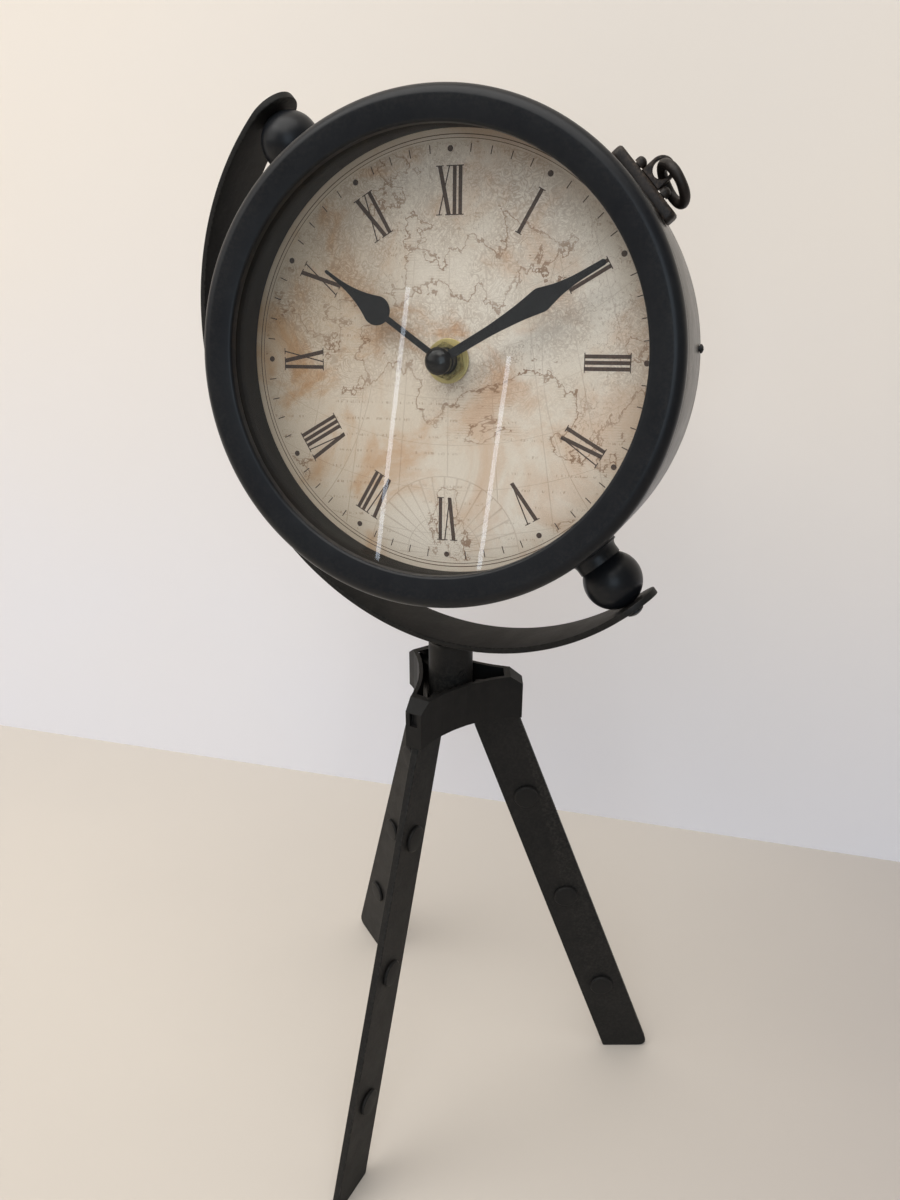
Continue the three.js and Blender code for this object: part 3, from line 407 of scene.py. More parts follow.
def build_coat(graph, given):
    """Brushed or sprayed coat: cloudy tone, rubbed edges and specks, fine waviness."""
    place = graph.position()
    cloud = graph.noise(place, given["Cloud Scale"], 4.0, 0.6)
    tone = graph.span(cloud, 0.3, 0.7)
    base = graph.colour(tone, given["Colour"], given["Second Colour"])
    ragged = graph.noise(place, 900.0, 5.0, 0.65)
    edge = graph.math("MULTIPLY", graph.attribute("edge"), graph.span(ragged, 0.42, 0.62))
    speck = graph.span(graph.noise(place, 1700.0, 2.0, 0.5), 0.74, 0.78)
    bare = graph.math("MAXIMUM", edge, graph.math("MULTIPLY", speck, 0.35))
    worn = graph.math("MULTIPLY", bare, given["Wear"])
    colour = graph.colour(graph.math("MINIMUM", worn, 1.0), base, given["Worn Colour"])
    settled = graph.span(graph.noise(place, 260.0, 6.0, 0.7), 0.45, 0.75)
    dust = graph.math("MULTIPLY", settled, given["Dust"])
    colour = graph.colour(dust, colour, (0.33, 0.30, 0.27, 1.0))
    patch = graph.math("SUBTRACT", graph.noise(place, 120.0, 5.0, 0.65), 0.5)
    rough = graph.math("ADD", given["Roughness"], graph.math("MULTIPLY", patch, 0.22))
    rough = graph.math("ADD", rough, graph.math("MULTIPLY", worn, 0.12), clamp=True)
    peel = graph.noise(place, given["Peel Scale"], 2.0, 0.5)
    return {"Colour": colour, "Roughness": rough, "Height": peel}


coat = effect("coat", {
    "Colour": (COLOUR, (0.02, 0.02, 0.02, 1)),
    "Second Colour": (COLOUR, (0.03, 0.03, 0.03, 1)),
    "Worn Colour": (COLOUR, (0.1, 0.1, 0.1, 1)),
    "Cloud Scale": (FLOAT, 25.0),
    "Wear": (FLOAT, 0.5),
    "Dust": (FLOAT, 0.05),
    "Roughness": (FLOAT, 0.4),
    "Peel Scale": (FLOAT, 900.0),
}, {"Colour": COLOUR, "Roughness": FLOAT, "Height": FLOAT}, build_coat)


def new_material(name):
    """An empty material with its graph, its Principled shader and its output."""
    material = bpy.data.materials.new(name)
    material.use_nodes = True
    material.node_tree.nodes.clear()
    graph = Graph(material.node_tree)
    shader = graph.node("ShaderNodeBsdfPrincipled")
    output = graph.node("ShaderNodeOutputMaterial")
    graph.feed(output.inputs["Surface"], shader.outputs[0])
    return material, graph, shader, output


def rgb(red, green, blue):
    """A colour as it looks on a screen, 0 to 255, made linear for a node."""
    value = np.array((red, green, blue)) / 255
    linear = np.where(value <= 0.04045, value / 12.92, ((value + 0.055) / 1.055) ** 2.4)
    return (*linear.tolist(), 1.0)


def relieve(graph, shader, height, depth):
    """Low relief on a material: bumps of a depth in millimetres from a mask of heights."""
    bump = graph.node("ShaderNodeBump")
    bump.inputs["Strength"].default_value = 1.0
    bump.inputs["Distance"].default_value = depth * MM
    graph.feed(bump.inputs["Height"], height)
    graph.feed(shader.inputs["Normal"], bump.outputs[0])


def clear_where(graph, shader, output, mask):
    """Lets light and sight through a material where a mask is 1."""
    clear = graph.node("ShaderNodeBsdfTransparent")
    mix = graph.node("ShaderNodeMixShader")
    graph.feed(mix.inputs[0], mask)
    graph.feed(mix.inputs[1], shader.outputs[0])
    graph.feed(mix.inputs[2], clear.outputs[0])
    graph.feed(output.inputs["Surface"], mix.outputs[0])


def coated(name, colour, second, worn, roughness, wear, dust, bump, cloud=25.0, peel=900.0,
           metal=0.0, gloss=0.0, gloss_roughness=0.1, specular=0.5):
    """A material of the coat group; bump is the depth of its waviness in millimetres."""
    material, graph, shader, _ = new_material(name)
    group = graph.node("ShaderNodeGroup", node_tree=coat)
    for key, value in {
        "Colour": rgb(*colour), "Second Colour": rgb(*second), "Worn Colour": rgb(*worn),
        "Cloud Scale": cloud, "Wear": wear, "Dust": dust, "Roughness": roughness, "Peel Scale": peel,
    }.items():
        group.inputs[key].default_value = value
    graph.feed(shader.inputs["Base Color"], group.outputs["Colour"])
    graph.feed(shader.inputs["Roughness"], group.outputs["Roughness"])
    relieve(graph, shader, group.outputs["Height"], bump)
    shader.inputs["Metallic"].default_value = metal
    shader.inputs["Coat Weight"].default_value = gloss
    shader.inputs["Coat Roughness"].default_value = gloss_roughness
    shader.inputs["Specular IOR Level"].default_value = specular
    return material


# Each finish: main, second and worn colour, roughness, and what sets it apart
# Satin black: the faint blue in its main and second colour is a painted sheen, the cool window light mirrored
# in its faces.
satin_black_blue_sheen = coated(
    "satin_black_blue_sheen", (17, 19, 23), (22, 24, 27), (58, 54, 50), 0.34,
    wear=0.45, dust=0.008, bump=0.01, specular=0.23)
stand_black = coated(
    "stand_black", (21, 21, 21), (28, 27, 26), (64, 61, 57), 0.52,
    wear=0.5, dust=0.012, cloud=40.0, peel=500.0, bump=0.05, specular=0.18)
shell_black = coated(
    "shell_black", (19, 17, 15), (25, 22, 20), (50, 46, 42), 0.3,
    wear=0.3, dust=0.01, bump=0.006, gloss=0.08, gloss_roughness=0.15, specular=0.2)
wall_black = coated(
    "inner_wall_black", (13, 13, 14), (17, 17, 17), (40, 39, 38), 0.5,
    wear=0.15, dust=0.0, bump=0.004, specular=0.1)
cast_brown = coated(
    "cast_brown", (24, 20, 18), (34, 28, 25), (74, 62, 53), 0.44,
    wear=0.6, dust=0.02, cloud=90.0, peel=600.0, bump=0.08, specular=0.25)
steel = coated(
    "plain_steel", (150, 148, 144), (128, 126, 122), (190, 188, 184), 0.34,
    wear=0.5, dust=0.02, peel=1500.0, bump=0.006, metal=0.95)
brass = coated(
    "turned_brass", (204, 188, 132), (178, 160, 104), (226, 214, 170), 0.34,
    wear=0.6, dust=0.03, peel=1500.0, bump=0.005, metal=0.7)
nut_brass = coated(
    "nut_brass", (178, 164, 110), (140, 128, 80), (90, 80, 48), 0.3,
    wear=0.9, dust=0.05, peel=1500.0, bump=0.005, metal=0.6)
hand_black = coated(
    "hand_black", (17, 18, 20), (22, 23, 25), (50, 50, 50), 0.45,
    wear=0.2, dust=0.005, bump=0.004, specular=0.18)
cap_black = coated(
    "cap_black", (6, 6, 7), (9, 9, 10), (28, 28, 28), 0.2,
    wear=0.1, dust=0.0, bump=0.001, gloss=0.15, gloss_roughness=0.05, specular=0.25)
black_plastic = coated(
    "black_plastic", (30, 30, 31), (37, 37, 38), (70, 70, 70), 0.52,
    wear=0.3, dust=0.05, peel=1800.0, bump=0.02)
white_plastic = coated(
    "white_plastic", (214, 211, 202), (200, 196, 186), (232, 230, 224), 0.42,
    wear=0.2, dust=0.06, peel=1500.0, bump=0.01)
battery_sleeve = coated(
    "battery_sleeve", (58, 86, 70), (48, 74, 60), (150, 150, 146), 0.3,
    wear=0.6, dust=0.04, bump=0.004, gloss=0.5)
rubber = coated(
    "gasket_rubber", (32, 32, 32), (40, 39, 38), (60, 60, 60), 0.85,
    wear=0.1, dust=0.08, peel=1600.0, bump=0.03)
copper = coated(
    "coil_copper", (158, 92, 54), (130, 72, 42), (196, 130, 90), 0.36,
    wear=0.4, dust=0.02, peel=2000.0, bump=0.05, metal=0.7)
board_green = coated(
    "board_green", (44, 74, 52), (36, 62, 44), (120, 124, 96), 0.5,
    wear=0.3, dust=0.04, peel=1200.0, bump=0.02)


MAP_SIZE = 160.0


class Chart(Graph):
    """A graph over the printed paper; place is a spot in millimetres from the dial's middle."""

    def __init__(self, tree):
        super().__init__(tree)
        uv = self.node("ShaderNodeUVMap", uv_map="UVMap").outputs[0]
        corner = -MAP_SIZE / 2
        self.place = self.vector("MULTIPLY_ADD", uv, (MAP_SIZE, MAP_SIZE, 0.0), (corner, corner, 0.0))
        split = self.node("ShaderNodeSeparateXYZ")
        self.feed(split.inputs[0], self.place)
        self.x, self.y = split.outputs[0], split.outputs[1]

    def shifted(self, offset, scale, *settings):
        """Noise moved by an offset, so that each use has its own pattern."""
        return self.noise(self.vector("ADD", self.place, offset), scale, *settings)

    def stretched(self, factors, scale, *settings):
        """Noise drawn out along an axis."""
        return self.noise(self.vector("MULTIPLY", self.place, factors), scale, *settings)

    def distance(self, x, y):
        """Distance of each spot from a point."""
        return self.vector("LENGTH", self.vector("SUBTRACT", self.place, (x, y, 0.0)))

    def line(self, value, level, half, soft):
        """1 where a value lies within a half width of a level, soft beyond it."""
        away = self.math("ABSOLUTE", self.math("SUBTRACT", value, level))
        return self.span(away, half, half + soft, 1.0, 0.0)

    def repeat(self, value, step, half):
        """Lines at each multiple of a step."""
        share = self.math("FRACT", self.math("DIVIDE", value, step))
        away = self.math("ABSOLUTE", self.math("SUBTRACT", share, 0.5))
        return self.span(away, 0.5 - half / step * 1.6, 0.5 - half / step * 0.4)

    def both(self, first, second):
        """The product of two masks, or of a mask and a weight."""
        return self.math("MULTIPLY", first, second)

    def strongest(self, *masks):
        """The strongest of several masks at each spot."""
        result = masks[0]
        for mask in masks[1:]:
            result = self.math("MAXIMUM", result, mask)
        return result


def stained_paper(chart, fibre):
    """Cream in two soft tones, brown stains, most of them left and in the middle, a darker rim and a
    trace of fibre."""
    tone = chart.span(chart.noise(chart.place, 0.018, 4.0, 0.55), 0.35, 0.65)
    base = chart.colour(tone, rgb(233, 224, 211), rgb(222, 210, 194))
    left = chart.span(chart.x, 25.0, -70.0)
    middle = chart.span(chart.distance(4.0, 14.0), 40.0, 6.0)
    strength = chart.math("ADD", chart.both(left, 0.6), chart.both(middle, 0.5))
    stain = chart.span(chart.shifted((31.0, 12.0, 4.0), 0.035, 6.0, 0.62, 0.6), 0.45, 0.68)
    stain = chart.both(stain, chart.math("ADD", 0.42, strength, clamp=True))
    rim = chart.span(chart.distance(0.0, 0.0), 58.0, 75.0)
    for mask, weight, shade in (
            (stain, 0.95, (196, 143, 96)), (left, 0.45, (186, 154, 112)), (rim, 0.3, (164, 140, 108)),
    ):
        base = chart.colour(chart.both(mask, weight), base, rgb(*shade))
    return chart.colour(chart.span(fibre, 0.35, 0.7, 0.0, 0.22), base, rgb(150, 130, 104))


def map_lines(chart):
    """Coasts, borders and rivers as level lines of noise fields, strokes beside the coasts, small
    marks over the land and in rows, and a web of relief; each mask with its weight in the ink."""
    both, span, shifted = chart.both, chart.span, chart.shifted
    north = span(chart.y, -22.0, 12.0, -0.05, 0.06)
    field = chart.math("ADD", shifted((7.0, -23.0, 2.0), 0.026, 7.0, 0.58, 0.25), north)
    land = span(field, 0.505, 0.53)
    coast = chart.line(field, 0.51, 0.0034, 0.003)
    border = both(chart.line(shifted((60.0, 5.0, 9.0), 0.06, 5.0, 0.6), 0.5, 0.0025, 0.003), land)
    river = both(chart.line(shifted((90.0, 41.0, 1.0), 0.05, 6.0, 0.62), 0.46, 0.0018, 0.002), land)
    beside = both(span(field, 0.47, 0.505), span(field, 0.512, 0.506))
    shading = both(chart.repeat(chart.y, 0.85, 0.16), beside)

    specks = span(chart.stretched((1.0, 0.55, 1.0), 1.25, 3.0, 0.75), 0.55, 0.6)
    crowd = both(specks, span(shifted((3.0, 77.0, 5.0), 0.085, 3.0, 0.5), 0.42, 0.56))
    crowd = both(crowd, chart.math("ADD", 0.18, both(land, 0.82)))
    wobble = chart.noise(chart.place, 0.9, 3.0, 0.6)
    row = chart.math("FRACT", chart.math("DIVIDE", chart.math("ADD", chart.y, both(wobble, 0.5)), 5.6))
    in_row = both(span(row, 0.42, 0.45), span(row, 0.6, 0.57))
    row_marks = both(in_row, span(chart.stretched((1.6, 0.4, 1.0), 1.1, 1.0, 0.5), 0.54, 0.58))
    row_marks = both(row_marks, span(shifted((44.0, 4.0, 8.0), 0.07, 2.0, 0.5), 0.52, 0.56))

    web = chart.repeat(shifted((15.0, 66.0, 3.0), 0.095, 5.0, 0.68, 0.4), 0.1, 0.017)
    squiggles = chart.repeat(shifted((27.0, 9.0, 5.0), 0.25, 1.5, 0.5, 0.5), 0.13, 0.024)
    upper = span(chart.y, -28.0, 8.0, 0.12, 1.0)
    patches = span(shifted((8.0, 19.0, 6.0), 0.045, 3.0, 0.5), 0.4, 0.56, 0.25, 1.0)
    web = both(both(chart.strongest(both(web, 0.7), squiggles), upper), patches)
    return [(coast, 0.8), (border, 0.5), (river, 0.45), (shading, 0.36), (web, 0.42), (crowd, 0.42),
            (row_marks, 0.5)]


def chart_net(chart):
    """A fan of rays in two circles near the foot, and outside it parallels about a near pole,
    meridians about a far one and two wide arcs."""
    fan_x, fan_y, outer_circle, inner_circle = -1.0, -66.0, 27.2, 13.5
    fan = chart.distance(fan_x, fan_y)
    from_fan = [chart.math("SUBTRACT", spot, middle) for spot, middle in ((chart.x, fan_x), (chart.y, fan_y))]
    fan_angle = chart.math("ARCTAN2", *from_fan)
    near_pole = chart.distance(0.0, 96.0)
    far_angle = chart.math("ARCTAN2", chart.x, chart.math("SUBTRACT", 190.0, chart.y))
    return chart.strongest(
        chart.both(chart.repeat(fan_angle, math.radians(10.0), 0.012), chart.span(fan, 27.5, 27.0)),
        chart.line(fan, outer_circle, 0.13, 0.12),
        chart.line(fan, inner_circle, 0.09, 0.1),
        chart.both(chart.repeat(near_pole, 15.5, 0.1), chart.span(near_pole, 60.0, 75.0)),
        chart.both(chart.repeat(far_angle, math.radians(4.4), 0.0007), chart.span(fan, 27.0, 27.5)),
        chart.line(chart.distance(-118.0, 10.0), 92.0, 0.1, 0.1),
        chart.line(chart.distance(122.0, 6.0), 90.0, 0.1, 0.1),
    )


def make_paper():
    """Aged chart paper: the stained sheet under a brown ink, which has faded in places and stops
    before the rim."""
    material, _, shader, _ = new_material("chart_paper")
    chart = Chart(material.node_tree)
    fibre = chart.stretched((1.0, 3.0, 1.0), 1.6, 5.0, 0.7)
    layers = map_lines(chart) + [(chart_net(chart), 0.36)]
    ink = chart.strongest(*[chart.both(mask, weight) for mask, weight in layers])
    faded = chart.span(chart.noise(chart.place, 0.06, 4.0, 0.6), 0.3, 0.7, 0.55, 1.0)
    print_area = chart.span(chart.distance(0.0, 0.0), 68.6, 68.2)
    ink = chart.both(chart.both(ink, faded), print_area)
    colour = chart.colour(ink, stained_paper(chart, fibre), rgb(122, 84, 52))
    chart.feed(shader.inputs["Base Color"], colour)
    chart.feed(shader.inputs["Roughness"], chart.span(fibre, 0.3, 0.7, 0.66, 0.82))
    relieve(chart, shader, fibre, 0.02)
    shader.inputs["Specular IOR Level"].default_value = 0.25
    return material


def make_ink(name, colour, second):
    """Printing ink, a little uneven and worn."""
    material, graph, shader, _ = new_material(name)
    cloud = graph.noise(graph.position(), 1400.0, 4.0, 0.65)
    tone = graph.colour(graph.span(cloud, 0.42, 0.72), rgb(*colour), rgb(*second))
    graph.feed(shader.inputs["Base Color"], tone)
    graph.feed(shader.inputs["Roughness"], graph.span(cloud, 0.3, 0.7, 0.6, 0.75))
    return material


def make_glass():
    """Clear flat glass. Light that only passes through it to the dial is let through unbent."""
    material, graph, shader, output = new_material("clear_glass")
    smear = graph.span(graph.noise(graph.position(), 35.0, 5.0, 0.6, 0.4), 0.4, 0.8, 0.0, 0.012)
    graph.feed(shader.inputs["Roughness"], smear)
    shader.inputs["Base Color"].default_value = (0.97, 0.985, 0.98, 1)
    shader.inputs["Transmission Weight"].default_value = 1.0
    shader.inputs["IOR"].default_value = 1.5
    path = graph.node("ShaderNodeLightPath")
    passing = graph.math("MAXIMUM", path.outputs["Is Shadow Ray"], path.outputs["Is Diffuse Ray"])
    clear_where(graph, shader, output, passing)
    return material


paper = make_paper()
dark_ink = make_ink("numeral_ink", (58, 42, 34), (84, 64, 52))
fine_ink = make_ink("fine_ink", (86, 66, 50), (120, 98, 78))
clear_glass = make_glass()


# Drum: heights are counted out of the dial from its printed face

DRUM_SIDES = 288
DRUM_RADIUS = 80.3
SHELL_INNER, SHELL_BACK, SHELL_FRONT = 79.1, -23.5, 18.2
SKIRT_INNER, SKIRT_OUTER = 75.0, 78.8
STACK_RADIUS = 74.7
COVER_BACK = -27.5
GLASS_BACK, GLASS_FRONT = 18.0, 20.0
BUSH_RADIUS = 4.2
SEAT_RADIUS = 80.6


def make_bezel():
    """Profile round the dial's axis: skirt, shoulder, a big outer round and a face that slopes in
    to a small round lip."""
    skirt_back, shoulder, seat, edge = 6.0, 18.5, 20.3, 0.3
    big_round, big_level = 4.0, 20.9
    lip_round, lip_reach, lip_level = 1.2, 70.5, 22.4
    skirt = [(SKIRT_INNER, skirt_back), (SKIRT_OUTER, skirt_back), (SKIRT_OUTER, shoulder),
             (DRUM_RADIUS, shoulder)]
    profile = np.vstack([
        rounded(skirt, (0, edge, 0.1, 0), closed=False),
        arc((DRUM_RADIUS - edge, shoulder + edge), edge, -90, 0, 3),
        arc((DRUM_RADIUS - big_round, big_level), big_round, 0, 88, 14),
        arc((lip_reach, lip_level), lip_round, 100, 180, 8),
        [(lip_reach - lip_round, seat), (SKIRT_INNER, seat)],
    ])
    piece("bezel_ring", dial, lathe(profile, DRUM_SIDES), satin_black_blue_sheen, "clock", ["bezel"])


def make_shell():
    """A tube with eased corners: its wall's cross-section carried round the dial's axis."""
    profile = rounded(rectangle(SHELL_INNER, DRUM_RADIUS, SHELL_BACK, SHELL_FRONT), 0.35)
    piece("drum_wall", dial, lathe(profile, DRUM_SIDES), shell_black, "clock", ["drum_shell"])


def window_reach(angle, half, corner):
    """Distance from the middle to a square with round corners, along each angle."""
    c, s = np.abs(np.cos(angle)), np.abs(np.sin(angle))
    flat = half / np.maximum(c, s)
    centre = half - corner
    along = centre * (c + s)
    bend = along + np.sqrt(np.maximum(along ** 2 - 2 * centre ** 2 + corner ** 2, 0))
    in_corner = np.minimum(flat * c, flat * s) > centre
    return np.where(in_corner, bend, flat)


def make_back_cover():
    """Rings from the square window out to the rim, over a round edge, along the skirt and back
    inside: the reach of each ring goes with its height."""
    sheet, seam, rim_round = 1.2, 0.3, 3.0
    groove, groove_depth = 60.0, 0.5
    skirt_inner, skirt_front = 77.6, SHELL_BACK + 9
    window_half, window_corner = 33.0, 6.0
    window = window_reach(around(DRUM_SIDES), window_half, window_corner)
    rings = [
        (window, COVER_BACK + sheet), (window, COVER_BACK + 0.3), (window + 0.12, COVER_BACK + 0.1),
        (window + 0.35, COVER_BACK), (groove, COVER_BACK), (groove + 0.8, COVER_BACK + groove_depth),
        (groove + 2.0, COVER_BACK + groove_depth), (groove + 2.8, COVER_BACK),
        *arc((DRUM_RADIUS - rim_round, COVER_BACK + rim_round), rim_round, -90, 0, 8),
        (DRUM_RADIUS, SHELL_BACK - seam), (SKIRT_OUTER, SHELL_BACK - seam), (SKIRT_OUTER, skirt_front),
        (skirt_inner, skirt_front), (skirt_inner, COVER_BACK + sheet + groove_depth),
        (groove + 2.0, COVER_BACK + sheet + groove_depth), (groove, COVER_BACK + sheet),
    ]
    pan = ring_stack(rings, DRUM_SIDES)
    piece("back_pan", dial, pan, satin_black_blue_sheen, "clock", ["back_cover"])


def map_flat(obj, place, size):
    """UV map of a flat piece: its own X and Y over a square of the given size in millimetres."""
    mesh = obj.data
    co = np.empty(len(mesh.vertices) * 3, np.float32)
    mesh.vertices.foreach_get("co", co)
    local = (co.reshape(-1, 3).astype(float) / MM - place.origin) @ place.axes.T
    corner = np.empty(len(mesh.loops), np.int32)
    mesh.loops.foreach_get("vertex_index", corner)
    layer = mesh.uv_layers.new(name="UVMap")
    layer.data.foreach_set("uv", (local[corner, :2] / size + 0.5).astype(np.float32).ravel())


def make_dial_stack():
    """Glass, tapered inner wall and printed dial, each a profile carried round the dial's axis."""
    flat, rim_start, ease = 73.8, 74.0, 0.3
    rim = rectangle(rim_start, STACK_RADIUS, GLASS_BACK, GLASS_FRONT)
    rim = rounded(rim, (0, ease, ease, 0), closed=False)
    pane = np.vstack([[(0, GLASS_BACK), (flat, GLASS_BACK)], rim, [(flat, GLASS_FRONT), (0, GLASS_FRONT)]])
    piece("dial_glass", dial, lathe(pane, DRUM_SIDES, closed=False), clear_glass, "clock", ["glass"])
    wall_foot, wall_head, wall_outer, wall_low, wall_high = 72.0, 70.3, 73.6, 0.3, 17.7
    taper = [(wall_foot, wall_low), (wall_outer, wall_low), (wall_outer, wall_high), (wall_head, wall_high)]
    wall = lathe(rounded(taper, ease), DRUM_SIDES)
    piece("inner_wall", dial, wall, wall_black, "clock", ["reveal_ring"])
    thick, halfway = 0.5, 30.0
    disc = [(reach, -thick) for reach in (BUSH_RADIUS, halfway, STACK_RADIUS)]
    disc += [(reach, 0.0) for reach in (STACK_RADIUS, halfway, BUSH_RADIUS)]
    chart = piece("chart_dial", dial, lathe(disc, DRUM_SIDES), paper, "clock", ["dial_face"])
    map_flat(chart, dial, MAP_SIZE)


# Print on the dial: each mark is a thin four-sided bar just above the paper

INK_LOW, INK_HIGH = 0.01, 0.05
NUMERALS = ("XII", "I", "II", "III", "IV", "V", "VI", "VII", "VIII", "IX", "X", "XI")
NUMERAL_BASE, NUMERAL_TOP = 46.0, 61.0
SERIF_HALF, SERIF_INSET = 0.16, 0.12
# Each letter's width, its strokes as (place at the top, place at the base, thickness), and its
# serifs as (middle, half length)
STROKES = {
    "I": (1.95, [(0.0, 0.0, 1.25)], [(0.0, 1.2), (0.0, 1.2)]),
    "V": (4.8, [(-1.6, 0.1, 1.35), (1.7, 0.1, 0.42)], [(-1.6, 1.35), (1.7, 1.0)]),
    "X": (5.1, [(-1.55, 1.65, 1.4), (1.75, -1.75, 0.42)],
          [(-1.55, 1.3), (1.75, 1.0), (1.65, 1.3), (-1.75, 1.0)]),
}


def bars(corners):
    """Thin bars from four-cornered outlines, each carried from the low to the high ink level."""
    corners = np.asarray(corners, float)
    count = len(corners)
    levels = np.array([INK_LOW, INK_HIGH])
    points = np.empty((count, 2, 4, 3))
    points[:, :, :, :2] = corners[:, None]
    points[:, :, :, 2] = levels[None, :, None]
    one = np.array([[0, 1, 2, 3], [7, 6, 5, 4], [0, 4, 5, 1], [1, 5, 6, 2], [2, 6, 7, 3], [3, 7, 4, 0]])
    faces = (one[None] + 8 * np.arange(count)[:, None, None]).reshape(-1, 4)
    return points.reshape(-1, 3), faces


def turned_out(corners, degrees):
    """Corners given as across and outwards, set at a clock angle."""
    a = math.radians(degrees)
    across = np.array((math.cos(a), -math.sin(a)))
    outwards = np.array((math.sin(a), math.cos(a)))
    corners = np.asarray(corners, float)
    return corners[..., :1] * across + corners[..., 1:] * outwards


def numeral_strokes(text):
    """Slanting and upright strokes with thin foot and head lines, middle of the numeral at 0."""
    place = -sum(STROKES[letter][0] for letter in text) / 2
    found = []
    for letter in text:
        width, strokes, serifs = STROKES[letter]
        centre = place + width / 2
        for top, base, thick in strokes:
            low, high, half = centre + base, centre + top, thick / 2
            found.append([(low - half, NUMERAL_BASE), (low + half, NUMERAL_BASE),
                          (high + half, NUMERAL_TOP), (high - half, NUMERAL_TOP)])
        for order, (middle, half) in enumerate(serifs):
            at_top = letter == "V" or (order < 2 if letter == "X" else order == 0)
            level = NUMERAL_TOP - SERIF_INSET if at_top else NUMERAL_BASE + SERIF_INSET
            middle += centre
            found.append(rectangle(middle - half, middle + half, level - SERIF_HALF, level + SERIF_HALF))
        place += width
    return found


def make_numerals():
    """The twelve numerals, upright towards the rim, as one piece of bars."""
    marks = []
    for hour, text in enumerate(NUMERALS):
        marks += [turned_out(stroke, hour * 30) for stroke in numeral_strokes(text)]
    piece("numerals", dial, bars(marks), dark_ink, "clock")


def make_minute_marks():
    """Ticks at the minutes, dots at the hours and two thin rings round them."""
    tick_half, tick_inner, tick_outer = 0.16, 65.0, 67.6
    dot_radius, dot_reach = 0.95, 66.0
    tick = rectangle(-tick_half, tick_half, tick_inner, tick_outer)
    ticks = bars([turned_out(tick, minute * 6) for minute in range(60) if minute % 5])
    points, faces = lathe(rectangle(0, dot_radius, INK_LOW, INK_HIGH), 24, closed=False)
    centres = [turned_out([(0.0, dot_reach)], hour * 30)[0] for hour in range(12)]
    dots = [(points + (*centre, 0.0), faces) for centre in centres]
    piece("minute_marks", dial, joined(ticks, *dots), dark_ink, "clock")
    rings = [lathe(rectangle(inner, inner + width, INK_LOW, INK_HIGH), DRUM_SIDES)
             for inner, width in ((69.0, 0.2), (70.1, 0.28))]
    piece("rim_rings", dial, joined(*rings), fine_ink, "clock")


# Hands and what holds them

MINUTE_ANGLE = 60.4
HOUR_ANGLE = (360 * 10 + MINUTE_ANGLE) / 12
HOUR_LEVEL, MINUTE_LEVEL = 7.2, 9.3
HAND_THICK = 0.6


def mirrored(lower):
    """An outline from its lower half and the same points with Y turned over."""
    lower = np.asarray(lower, float)
    return np.vstack([lower, (lower * (1, -1))[::-1]])


def hour_outline():
    """Round hub, neck, round bulb and a taper: half its width falls as (1 - share)^2.6 to the tip."""
    bulb_centre, bulb_radius, neck_half = 27.9, 4.75, 1.0
    tip, tip_half, fall = 50.4, 0.55, 2.6
    hub = arc((0, 0), 4.4, -180, -14, 18)
    neck = math.degrees(math.asin(neck_half / bulb_radius))
    bulb = arc((bulb_centre, 0), bulb_radius, -180 + neck, -60, 12)
    start_x, start_y = bulb[-1]
    share = np.linspace(0, 1, 12)[1:]
    taper = np.column_stack([
        start_x + (tip - tip_half - start_x) * share,
        -tip_half + (start_y + tip_half) * (1 - share) ** fall,
    ])
    return mirrored(np.vstack([hub, bulb, taper, [(tip, -0.05)]]))


def minute_outline():
    """Round hub, a bar that widens to a long diamond and narrows again, and a round tip."""
    tip, tip_radius = 60.2, 0.95
    hub = arc((0, 0), 4.0, -180, -20, 18)
    edge = [(3.76, -1.5), (20.0, -1.62), (30.5, -2.55), (38.4, -3.85), (44.6, -2.05), (50.5, -1.2),
            (tip, -tip_radius)]
    blade = rounded(edge, (0, 6.0, 3.0, 0.8, 2.0, 3.0, 0), 5, closed=False)
    return mirrored(np.vstack([hub, blade, arc((tip, 0), tip_radius, -80, -8, 6)]))


def make_hands():
    """Two flat hands cut from their outlines along X, and a domed cap on the arbor."""
    for name, outline, level, angle in (
            ("hour", hour_outline(), HOUR_LEVEL, HOUR_ANGLE),
            ("minute", minute_outline(), MINUTE_LEVEL, MINUTE_ANGLE),
    ):
        piece(f"{name}_pointer", dial.turned(90 - angle), slab(outline, level, level + HAND_THICK, 0.12, 2),
              hand_black, name, [f"{name}_hand"])
    cap_low, skirt_reach, dome_level = 10.2, 4.3, 11.4
    dome = np.vstack([
        [(0, cap_low), (skirt_reach, cap_low)],
        arc((skirt_reach, 10.4), 0.2, -90, 0, 3),
        arc((3.9, 11.0), 0.6, 0, 60, 4),
        arc((0, dome_level), (4.1, 2.0), 10, 90, 13),
    ])
    piece("centre_cap", dial, lathe(dome, 96, closed=False), cap_black, "minute", ["hand_cap"])


def make_dial_fixings():
    """Washer and chamfered six-sided nut round the threaded bush. The nut's reach is half across /
    cos(a), with a folded into a sixth of a turn, and the chamfer cuts its corners to a circle."""
    sides = 96
    washer_radius, washer_low, washer_high = 7.4, 0.3, 1.1
    washer = rounded(rectangle(BUSH_RADIUS, washer_radius, washer_low, washer_high), 0.2)
    piece("brass_washer", dial, lathe(washer, sides), brass, "clock", ["dial_washer"])
    half_across, eased_reach, low, high, chamfer, lead = 5.5, 5.75, 1.4, 3.8, 0.35, 0.3
    hexagon = half_across / np.cos((around(sides) + math.pi / 6) % (math.pi / 3) - math.pi / 6)
    eased = np.minimum(hexagon, eased_reach)
    rings = [(BUSH_RADIUS, low), (eased, low), (hexagon, low + chamfer), (hexagon, high - chamfer),
             (eased, high), (BUSH_RADIUS + lead, high), (BUSH_RADIUS, high - lead)]
    nut = ring_stack(rings, sides)
    piece("brass_nut", dial.turned(8), nut, nut_brass, "clock", ["dial_nut"], sharp=25)


# Screws, balls and their feet

BALL_HEIGHT = 92.09
# From the pivot to the middle of the arm's strap, and to what sits on or under its outer face
ARM_RADIUS, ARM_OUTSIDE = 103.0, 104.4


